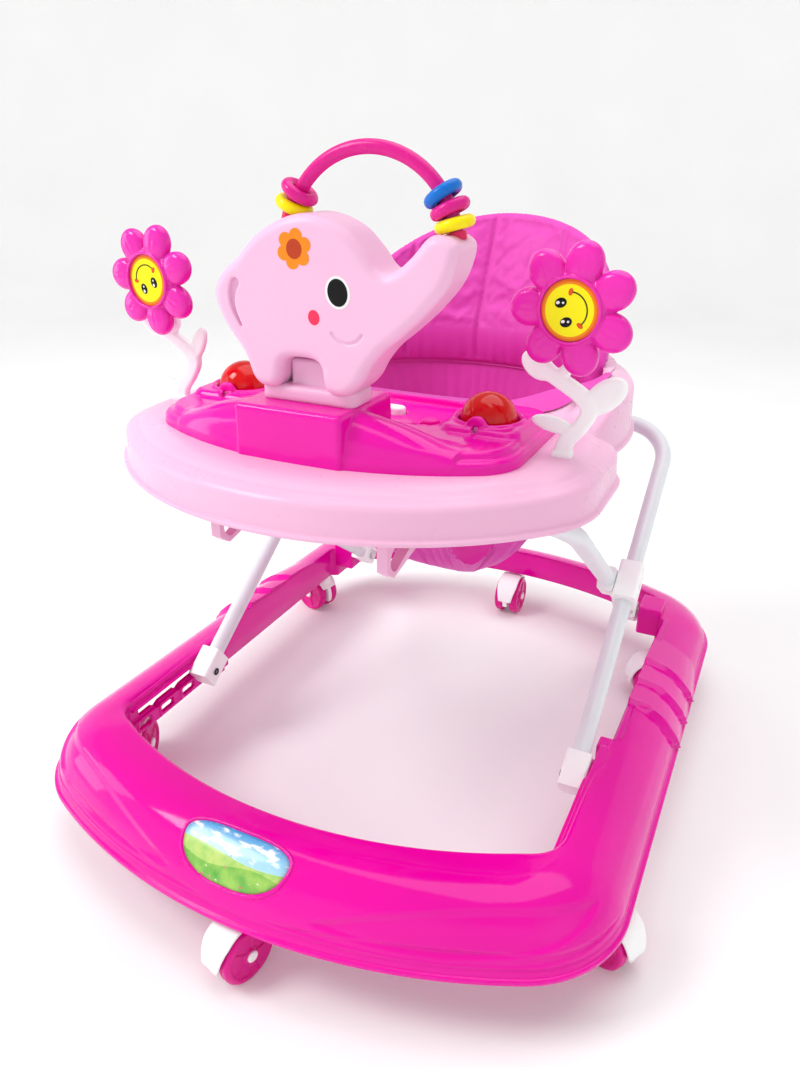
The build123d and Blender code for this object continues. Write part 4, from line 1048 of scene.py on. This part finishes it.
def stroke(points, width):
    """Closed outline of a line of the given width with rounded ends."""
    p = np.asarray(points, float)
    along = np.gradient(p, axis=0)
    along /= np.linalg.norm(along, axis=1, keepdims=True)
    side = np.column_stack([along[:, 1], -along[:, 0]]) * width / 2
    cap = [p[-1] + along[-1] * width / 2], [p[0] - along[0] * width / 2]
    return np.concatenate([p + side, cap[0], (p - side)[::-1], cap[1]])


def ink(name, colour, rough=(0.25, 0.35), coat=0.1, tone=0.05):
    """Printed film: glossy, opaque and even."""
    return plastic(f"print_{name}", colour, rough, coat, 0.0, tone, 0.02)


INK_BLACK = ink("black", (0.002, 0.002, 0.0025), (0.5, 0.6), 0.0, 0.0)
INK_WHITE = ink("white", (0.9, 0.9, 0.89), tone=0.01)
INK_ORANGE = ink("orange", linear(247, 140, 26))
INK_BROWN = ink("brown", linear(188, 62, 26))
INK_CORAL = ink("coral", linear(240, 52, 92))
INK_RIM = ink("rim_orange", linear(240, 108, 28))
INK_RED = ink("cheek_red", linear(228, 84, 32))
INK_YELLOW = ink("yellow", linear(255, 244, 4), (0.22, 0.3))
X_WAY, _, Z_WAY = np.eye(3)


def elephant_back(points):
    """How far the rounded skin falls behind the flat face at these places."""
    inside = np.clip(-outline_field(points[:, [0, 2]], ELEPHANT_LOOP), 0, ELEPHANT_ROUND)
    return ELEPHANT_ROUND - np.sqrt(ELEPHANT_ROUND**2 - (ELEPHANT_ROUND - inside) ** 2)


for face, way in (("front", 1), ("rear", -1)):
    spot = (0, ELEPHANT_Y - way * ELEPHANT_HALF, 0)
    marks = [
        (blossom(way * 3, 527, 6, 9.2, 3.6, 0.35), INK_ORANGE, 0.5),
        (oval(way * 3, 527, 5.6, 6.2), INK_BROWN, 1.0),
        (oval(way * 34, 502, 8.9, 10.3, 0.2 * way), INK_WHITE, 0.5),
        (oval(way * 34, 502, 7.2, 8.7, 0.2 * way), INK_BLACK, 1.0),
        (oval(way * 16, 485, 4.2, 4.9, 0.2 * way), INK_CORAL, 0.5),
    ]
    prints(f"elephant_print_{face}", marks, spot, X_WAY * way, Z_WAY, "tray", "tray_pink", elephant_back)

# ---- flowers -------------------------------------------------------------------------------------
FLOWERS = {"right": (166.0, 170.0, 79.0, 111.0, 4.0), "left": (-166.0, -171.0, 124.0, -154.0, 0.0)}
FLOWER_Y, FLOWER_Z, FLOWER_YAW = -146.0, 488.0, math.radians(-7.0)
FLOWER_RIGHT = np.array([math.cos(FLOWER_YAW), math.sin(FLOWER_YAW), 0.0])
FLOWER_AHEAD = np.array([math.sin(FLOWER_YAW), -math.cos(FLOWER_YAW), 0.0])
HEAD_BACK, PETAL_DEPTH = 8.5, 12.0
# each flower's large leaf: middle, half length, half width, turn
LEAVES = {"right": (26, 434, 17.0, 10.2, 42), "left": (22, 437, 15.0, 6.0, 66)}


def build_flower(side, foot_x, head_x, first, face_turn, lift):
    hub = np.array([head_x, FLOWER_Y, FLOWER_Z + lift])

    def head_field(p):
        q = p - hub
        u, v, w = q @ FLOWER_RIGHT, q[:, 2], q @ FLOWER_AHEAD - HEAD_BACK - PETAL_DEPTH / 2
        body = plate(np.hypot(u, v) - 24, w, 4.6, 2.5)
        petals = np.full(len(p), 1e3)
        for k in range(7):
            a = math.radians(first + k * 360 / 7)
            along, across = u * math.cos(a) + v * math.sin(a), -u * math.sin(a) + v * math.cos(a)
            flat = np.hypot((along - 29.6) * 0.9, across) - 12.6
            puff = 2.2 * np.clip(-flat / 9, 0, 1) ** 0.8
            petal = plate(flat, w, PETAL_DEPTH / 2 - 1.4 + puff, 4.2)
            vein = np.abs(across - 0.16 * along * np.array([-1.0, 0.0, 1.0])[:, None]).min(axis=0)
            vein = np.maximum(np.maximum(vein - 0.1, 25 - along), along - 36)
            vein = np.hypot(vein, w - PETAL_DEPTH / 2 - 1.3) - 0.7
            petal = smax(petal, -vein, 0.8)
            petals = smin(petals, petal, 0.5)
        body = smin(body, petals, 2.0)
        ring = plate(np.abs(np.hypot(u, v) - 20.6) - 1.3, w - 4.5, 3.4, 1.0)
        body = smin(body, ring, 0.8)
        cup = plate(np.hypot(u, v) - 19.9, w - 6.5, 3.0, 0.4)
        body = smax(body, -cup, 0.8)
        return np.maximum(body, -np.maximum(np.hypot(u, v) - 3.1, np.abs(w + 1) - 8))

    low, high = hub - (50, 32, 50), hub + (50, 8, 50)
    carved(f"flower_petals_{side}", head_field, low, high, 1.05,
           f"flower_{side}", PETAL_PINK, "toy_pink", [f"flower_head_{side}"])

    c, s = math.cos(math.radians(face_turn)), math.sin(math.radians(face_turn))
    right = FLOWER_RIGHT * c + Z_WAY * s
    up = -FLOWER_RIGHT * s + Z_WAY * c
    spot = hub + FLOWER_AHEAD * (HEAD_BACK + PETAL_DEPTH - 0.2)
    smile = [(11.5 * math.sin(a), -1.0 - 11.0 * math.cos(a)) for a in np.linspace(-1.15, 1.15, 25)]
    marks = [
        (oval(0, 0, 19.6, 19.6, count=72), INK_RIM, 0.0),
        (oval(0, 0, 18.2, 18.2, count=72), INK_ORANGE, 0.6),
        (oval(0, 0, 16.6, 16.6, count=72), INK_YELLOW, 1.2),
        (oval(-6.4, 4.2, 3.1, 4.1), INK_BLACK, 1.8),
        (oval(6.4, 4.2, 3.1, 4.1), INK_BLACK, 1.8),
        (oval(-5.4, 6.0, 1.0, 1.3), INK_WHITE, 2.3),
        (oval(7.0, 6.0, 1.0, 1.3), INK_WHITE, 2.3),
        (oval(-6.5, 2.6, 0.7, 0.8), INK_WHITE, 2.3),
        (oval(5.9, 2.6, 0.7, 0.8), INK_WHITE, 2.3),
        (oval(-11.0, -4.2, 2.4, 1.5, 0.6), INK_RED, 1.7),
        (oval(11.0, -4.2, 2.4, 1.5, -0.6), INK_RED, 1.7),
        (stroke(smile, 0.8), INK_BLACK, 2.0),
    ]
    made = prints(f"flower_face_{side}_print", marks, spot, right, up, f"flower_{side}", "face_yellow")
    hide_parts(f"flower_face_{side}")

    shift = head_x - foot_x
    trunk = smooth_line([(0, 390), (2.5, 400), (12, 412), (16, 423), (9, 433), (-10, 444), (-20, 452)],
                        False, 6)
    prong = smooth_line([(-9, 443), (0, 452), (shift * 0.9, 468), (shift, FLOWER_Z)], False, 5)

    def stem_field(p):
        q = np.column_stack([p[:, 0] - foot_x, p[:, 2]])
        w = p[:, 1] - FLOWER_Y
        width = np.interp(q[:, 1], [388, 410, 425, 450], [6.8, 5.4, 6.2, 5.2])
        flat = line_field(q, trunk) - width
        flat = smin(flat, line_field(q, prong) - 4.2, 2.0)
        body = plate(flat, w, 3.5, 2.6)
        for cx, cz, rx, rz, turn in (LEAVES[side], (-23, 450, 12.5, 8.2, -38), (-9, 410, 15, 5.6, -10)):
            t = math.radians(turn)
            du, dv = q[:, 0] - cx, q[:, 1] - cz
            lu, lv = (du * math.cos(t) + dv * math.sin(t)) / rx, (-du * math.sin(t) + dv * math.cos(t)) / rz
            leaf = (np.hypot(lu, lv) - 1) * min(rx, rz)
            crease = 0.6 * np.exp(-(lv * rz / 0.8) ** 2)
            body = smin(body, plate(leaf, w, 3.0 - 0.25 * crease, 2.2), 2.2)
        collar = disc_field(p, (head_x, FLOWER_Y - 3.5, FLOWER_Z), (0, 1, 0), 8.5, 4.0, 1.2)
        body = smin(body, collar, 1.5)
        foot = box_field(p, (foot_x, FLOWER_Y, 385), (7.2, 5.0, 7.0), 1.6)
        return smin(body, foot, 1.0)

    low = (min(foot_x, head_x) - 42, FLOWER_Y - 10, 374)
    high = (max(foot_x, head_x) + 50, FLOWER_Y + 8, 500)
    carved(f"flower_stalk_{side}", stem_field, low, high, 1.1,
           "tray", WHITE, "white_plastic", [f"flower_stem_{side}"])


for side, values in FLOWERS.items():
    build_flower(side, *values)


# ---- rattle balls --------------------------------------------------------------------------------
def clear_red(name):
    material, tree, shader = node_material(name)
    speckled(tree, shader.inputs["Base Color"], 40.0, linear(214, 0, 2), linear(226, 2, 4))
    speckled(tree, shader.inputs["Roughness"], 90.0, 0.05, 0.14, 4.0)
    shader.inputs["Transmission Weight"].default_value = 0.12
    shader.inputs["Subsurface Weight"].default_value = 0.25
    shader.inputs["Subsurface Radius"].default_value = (0.012, 0.002, 0.001)
    shader.inputs["Specular IOR Level"].default_value = 0.35
    shader.inputs["Coat Weight"].default_value = 0.05
    shader.inputs["IOR"].default_value = 1.49
    bump(tree, shader, noise_node(tree, 150.0, 2.0), 0.05, 0.0005)
    return material


BALL_RED = clear_red("clear_red_plastic")


def build_ball(side, centre):
    def field(p):
        q = p - np.asarray(centre)
        shell = np.abs(np.linalg.norm(q, axis=1) - 20.1) - 0.9
        seam = np.hypot(np.linalg.norm(q, axis=1) - 21.0, q @ np.array([0.82, 0.0, 0.57])) - 0.45
        return smax(shell, -seam, 0.3)

    carved(f"rattle_shell_{side}", field, np.array(centre) - 22.5, np.array(centre) + 22.5, 0.9,
           f"ball_{side}", BALL_RED, "ball_red", [f"rattle_ball_{side}"])


for side, centre in BALLS.items():
    build_ball(side, centre)


# ---- seat ----------------------------------------------------------------------------------------
BACK_TOP_Z, BACK_LEAN_Z, BACK_FOOT_Z = 522.0, 410.0, 373.0
FOLD_Z, SEAMS = 375.0, np.radians([-42.0, -7.0, 28.0, 63.0])


def back_outline(turn, z, inset):
    """Point of the backrest's outer face moved in by inset; turn is 0 at the rear and grows to the right."""
    lean = np.clip((z - BACK_LEAN_Z) / (BACK_TOP_Z - BACK_LEAN_Z), 0, 1)
    half_x, half_y, middle = 145.5 + 4.0 * lean, 115.5 + 43.5 * lean, 62 + 8 * lean
    x, y = (half_x - inset) * np.sin(turn), middle + (half_y - inset) * np.cos(turn)
    return np.stack([x, y, z], -1)


def seat_back_mesh():
    """Closed padded shell: rows round the child's back, columns up the inner face and down the outer."""
    turns = np.linspace(math.radians(-89), math.radians(89), 190)
    # the crown falls away faster on the left, as the cloth has slumped
    fall = np.where(turns < 0, 0.8, 0.55)
    crown = BACK_FOOT_Z + 14 + (BACK_TOP_Z - BACK_FOOT_Z - 14) * np.cos(turns * 0.985) ** fall
    climb = np.linspace(0, 1, 46)
    over = np.radians(np.linspace(15, 165, 9))
    share = np.concatenate([climb, np.full(9, 1.0), climb[::-1]])
    side = np.concatenate([np.full(46, 1.0), np.cos(over), np.full(46, -1.0)])
    round_up = np.concatenate([np.zeros(46), np.sin(over), np.zeros(46)])
    t = turns[:, None]
    z = BACK_FOOT_Z + (crown[:, None] - 6.0 - BACK_FOOT_Z) * share + 6.0 * round_up
    seam = np.min(np.abs(t - SEAMS[None]), axis=1)[:, None]
    up_share = np.clip((z - FOLD_Z) / np.maximum(crown[:, None] - FOLD_Z, 20), 0, 1)
    puff = np.sqrt(np.clip(seam / 0.3, 0, 1)) * np.sin(math.pi * up_share) ** 0.5
    pucker = 0.9 * np.sin(61 * t + 2.2 * np.sin(9 * t)) + 0.7 * np.sin(37 * t + 1.0)
    pucker = pucker * np.exp(-(z - FOLD_Z) / 16) * (z > FOLD_Z)
    roll = 2.4 * np.sin(math.pi * np.clip((z - FOLD_Z) / 34, 0, 1)) ** 0.7
    inner = 4.2 + 4.6 * puff + roll + pucker
    inner = inner - 2.2 * np.exp(-(seam / 0.016) ** 2) * (z > FOLD_Z + 4)
    outer = np.minimum(4.2 + 3.0 * puff, np.where(z < 408, 5.2, 8.0))
    half = np.where(side > 0, inner, outer)
    grid = back_outline(np.broadcast_to(t, z.shape), z, 6.2 + half * side)
    rows, cols = z.shape
    quads = [tuple(q) for q in strip_faces(rows, cols, False, True)]
    quads.append(tuple(range(cols)))
    quads.append(tuple((rows - 1) * cols + k for k in reversed(range(cols))))
    piece = make_mesh("backrest", grid.reshape(-1, 3).tolist(), quads)
    held = np.clip(1 - (grid[..., 2] - 404) / 16, 0.12, 1)
    held = np.maximum(held, 0.9 * np.exp(-(seam / 0.03) ** 2))
    held = np.maximum(held, 0.8 * (round_up > 0.3))
    held = np.maximum(held, np.clip((np.abs(t) - 1.2) / 0.25, 0, 1))
    return piece, held.ravel()


def simulate(piece, held, frames, pressure, grow, weight_share, quality=6):
    """Let a piece settle as cloth, held where held is 1, and keep the result as mesh."""
    group = piece.vertex_groups.new(name="held")
    for number, weight in enumerate(held):
        if weight > 0.01:
            group.add([number], float(weight), "REPLACE")
    cloth = piece.modifiers.new("cloth", "CLOTH")
    settings = cloth.settings
    settings.quality = quality
    settings.mass = 0.25
    settings.air_damping = 3.0
    settings.tension_stiffness = 12
    settings.compression_stiffness = 10
    settings.shear_stiffness = 6
    settings.bending_stiffness = 0.15
    settings.shrink_min = -grow
    settings.vertex_group_mass = "held"
    settings.pin_stiffness = 2.0
    settings.effector_weights.gravity = weight_share
    if pressure:
        settings.use_pressure = True
        settings.uniform_pressure_force = pressure
    cloth.collision_settings.use_self_collision = False
    cloth.collision_settings.use_collision = False
    cloth.point_cache.frame_start, cloth.point_cache.frame_end = 1, frames
    for frame_number in range(1, frames + 1):
        bpy.context.scene.frame_set(frame_number)
    apply_modifiers(piece)
    bpy.context.scene.frame_set(1)


def build_backrest():
    piece, held = seat_back_mesh()
    simulate(piece, held, 12, 2.5, 0.035, 0.1)
    place(piece, "tray", FABRIC, "seat_fabric", ["seat_back"])
    piece.data.polygons.foreach_set("use_smooth", [True] * len(piece.data.polygons))


build_backrest()

LEG_HOLES, FLAP_COLUMNS = ((52.0, 258.0), (34.0, 40.0)), 7


def sling_mesh():
    """Cloth bucket: rows round the opening, columns from the hem down to the middle of the bottom."""
    count = 220
    turns = np.linspace(0, 2 * math.pi, count, endpoint=False)
    ways = np.stack([np.sin(turns), np.cos(turns)], 1)
    reach = opening_reach(SEAT_MIDDLE, ways, -2.0)
    rear = soft_step(SEAT_MIDDLE[1] + ways[:, 1] * reach, 44, 62)
    reach = reach - 6.5 * rear
    hem = SEAT_MIDDLE + ways * reach[:, None]
    hem_z = 393.0 - 17.0 * rear
    # the cloth turns over the ring's lip in front and lies on the tray up to the toy tray
    corner = np.exp(-((np.degrees(np.arccos(np.clip(-ways[:, 1], -1, 1))) - 50) / 20) ** 2)
    flap = (7 + 19 * corner) * (1 - rear)
    columns = []
    for share in np.linspace(1, 0, FLAP_COLUMNS):
        out = 2.0 + flap * share
        over = SEAT_MIDDLE + ways * (reach + 2.0 + out)[:, None]
        over[:, 1] = np.maximum(over[:, 1], -67.0)
        drop = 7.0 - np.sqrt(np.clip(49 - np.clip(7 - out, 0, 7) ** 2, 0, None))
        over_z = 388.0 + 16 * soft_step(over[:, 1], -66, -22) + 1.8 - drop
        tucked = hem - ways * (2.5 * share + 0.3)
        flat = over + (tucked - over) * rear[:, None]
        columns.append(np.column_stack([flat, over_z + (375.0 - 5 * share - over_z) * rear]))
    # share of the hem's reach, and height
    levels = ((1.0, 1.0), (0.97, 340.0), (0.91, 300.0), (0.78, 250.0), (0.62, 215.0), (0.42, 203.0),
              (0.2, 200.5), (0.02, 200.0))
    shares = np.array([v[0] for v in levels])
    for k in np.linspace(0, 1, 64):
        at = k * (len(levels) - 1)
        share = np.interp(at, range(len(levels)), shares)
        if at < 1:
            z = hem_z + (levels[1][1] - hem_z) * at
        else:
            z = np.full(count, np.interp(at, range(1, len(levels)), [v[1] for v in levels[1:]]))
        gather = 1.4 * np.sin(turns * 26 + 1.3 * np.sin(turns * 5)) * (1 - 0.4 * rear)
        gather = gather * math.sin(math.pi * min(1, k * 1.15))
        middle = SEAT_MIDDLE + np.array([0.0, 14.0]) * k
        flat = middle + (hem - SEAT_MIDDLE) * share
        flat = flat - ways * (np.abs(gather) * min(1, share * 1.6))[:, None]
        columns.append(np.column_stack([flat, z]))
    grid = np.stack(columns, 1)
    quads = strip_faces(count, grid.shape[1], True, False)
    middle = grid.reshape(-1, 3)[quads].mean(axis=1)
    (hole_x, hole_z), (half_x, half_z) = LEG_HOLES
    hole = ((np.abs(middle[:, 0]) - hole_x) / half_x) ** 2 + ((middle[:, 2] - hole_z) / half_z) ** 2 < 1
    quads = quads[~(hole & (middle[:, 1] < 60))]
    used = np.unique(quads)
    renumber = np.full(grid.shape[0] * grid.shape[1], -1)
    renumber[used] = np.arange(len(used))
    points = grid.reshape(-1, 3)[used]
    hung = np.zeros(grid.shape[:2])
    hung[:, :FLAP_COLUMNS + 3] = 1.0
    return points, renumber[quads], hung.ravel()[used]


def build_sling():
    points, quads, held = sling_mesh()
    piece = make_mesh("seat_cloth", points, quads)
    simulate(piece, held, 18, 0.0, 0.015, 0.6)
    place(piece, "tray", FABRIC, "seat_fabric", ["seat_sling"])
    piece.data.polygons.foreach_set("use_smooth", [True] * len(piece.data.polygons))


build_sling()


# ---- stage, light and camera ---------------------------------------------------------------------
def build_stage():
    """White paper bowl: a flat floor that curves up all round, under a dim even sky."""
    columns = [(0.0, 0.0), (700, 0), (1500, 0), (2600, 0)]
    columns += [(2600 + 900 * math.sin(a), 900 * (1 - math.cos(a)))
                for a in np.radians(np.linspace(8, 90, 12))]
    columns += [(3500, 1500), (3500, 2200)]
    turns = np.linspace(0, 2 * math.pi, 96, endpoint=False)
    r, z = np.array(columns[1:]).T
    x, y = np.cos(turns)[:, None] * r, np.sin(turns)[:, None] * r
    ring = np.stack([x, y, np.broadcast_to(z, x.shape)], -1)
    points = np.concatenate([ring.reshape(-1, 3), [[0, 0, 0]]])
    quads = [tuple(q) for q in strip_faces(96, len(r), True, False)[:, ::-1]]
    middle = len(points) - 1
    quads += [(k * len(r), ((k + 1) % 96) * len(r), middle) for k in range(96)]
    floor = make_mesh("studio_paper_bowl", points.tolist(), quads)
    material, tree, shader = node_material("studio_paper")
    speckled(tree, shader.inputs["Base Color"], 3.0, (0.9, 0.905, 0.903), (0.93, 0.935, 0.933))
    shader.inputs["Roughness"].default_value = 0.7
    shader.inputs["Specular IOR Level"].default_value = 0.2
    shader.inputs["Emission Color"].default_value = (1.0, 0.99, 0.99, 1)
    shader.inputs["Emission Strength"].default_value = 0.06
    bump(tree, shader, noise_node(tree, 200.0), 0.03, 0.0005)
    floor.data.materials.append(material)
    world = bpy.data.worlds.new("studio")
    bpy.context.scene.world = world
    world.use_nodes = True
    world.node_tree.nodes["Background"].inputs["Color"].default_value = (1.0, 0.99, 0.99, 1)
    world.node_tree.nodes["Background"].inputs["Strength"].default_value = 0.5


def area_light(name, spot, aim, size, power, colour=(1, 1, 1)):
    data = bpy.data.lights.new(name, "AREA")
    data.shape = "RECTANGLE"
    data.size, data.size_y = size
    data.energy = power
    data.color = colour
    lamp = bpy.data.objects.new(name, data)
    lamp.location = spot
    lamp.rotation_euler = (Vector(aim) - Vector(spot)).to_track_quat("-Z", "Y").to_euler()
    bpy.context.scene.collection.objects.link(lamp)


def build_camera():
    yaw, pitch, roll = -0.436682, 0.420801, 0.008931
    ahead = Vector((math.cos(pitch) * math.sin(yaw), math.cos(pitch) * math.cos(yaw), -math.sin(pitch)))
    level = Vector((math.cos(yaw), -math.sin(yaw), 0))
    up_level = level.cross(ahead)
    right = level * math.cos(roll) + up_level * math.sin(roll)
    up = up_level * math.cos(roll) - level * math.sin(roll)
    data = bpy.data.cameras.new("photo_camera")
    data.sensor_fit = "VERTICAL"
    data.sensor_height = 36.0
    data.lens = 869.411 / 1067 * 36
    data.clip_start, data.clip_end = 0.01, 50
    camera = bpy.data.objects.new("photo_camera", data)
    camera.matrix_world = Matrix((
        (right.x, up.x, -ahead.x, 0.309743),
        (right.y, up.y, -ahead.y, -0.724112),
        (right.z, up.z, -ahead.z, 0.588104),
        (0, 0, 0, 1),
    ))
    bpy.context.scene.collection.objects.link(camera)
    bpy.context.scene.camera = camera


build_stage()
area_light("key", (-1.5, -1.3, 2.2), (0, 0, 0.2), (1.0, 1.0), 34)
area_light("top", (0.2, 0.4, 2.6), (0, 0, 0.2), (2.4, 2.4), 33)
area_light("fill", (1.9, -1.0, 1.2), (0, 0, 0.3), (1.2, 1.6), 1.2)
area_light("side", (-2.0, -0.8, 0.75), (0, 0, 0.2), (0.5, 1.1), 4)
build_camera()
bpy.context.scene.view_settings.view_transform = "Standard"
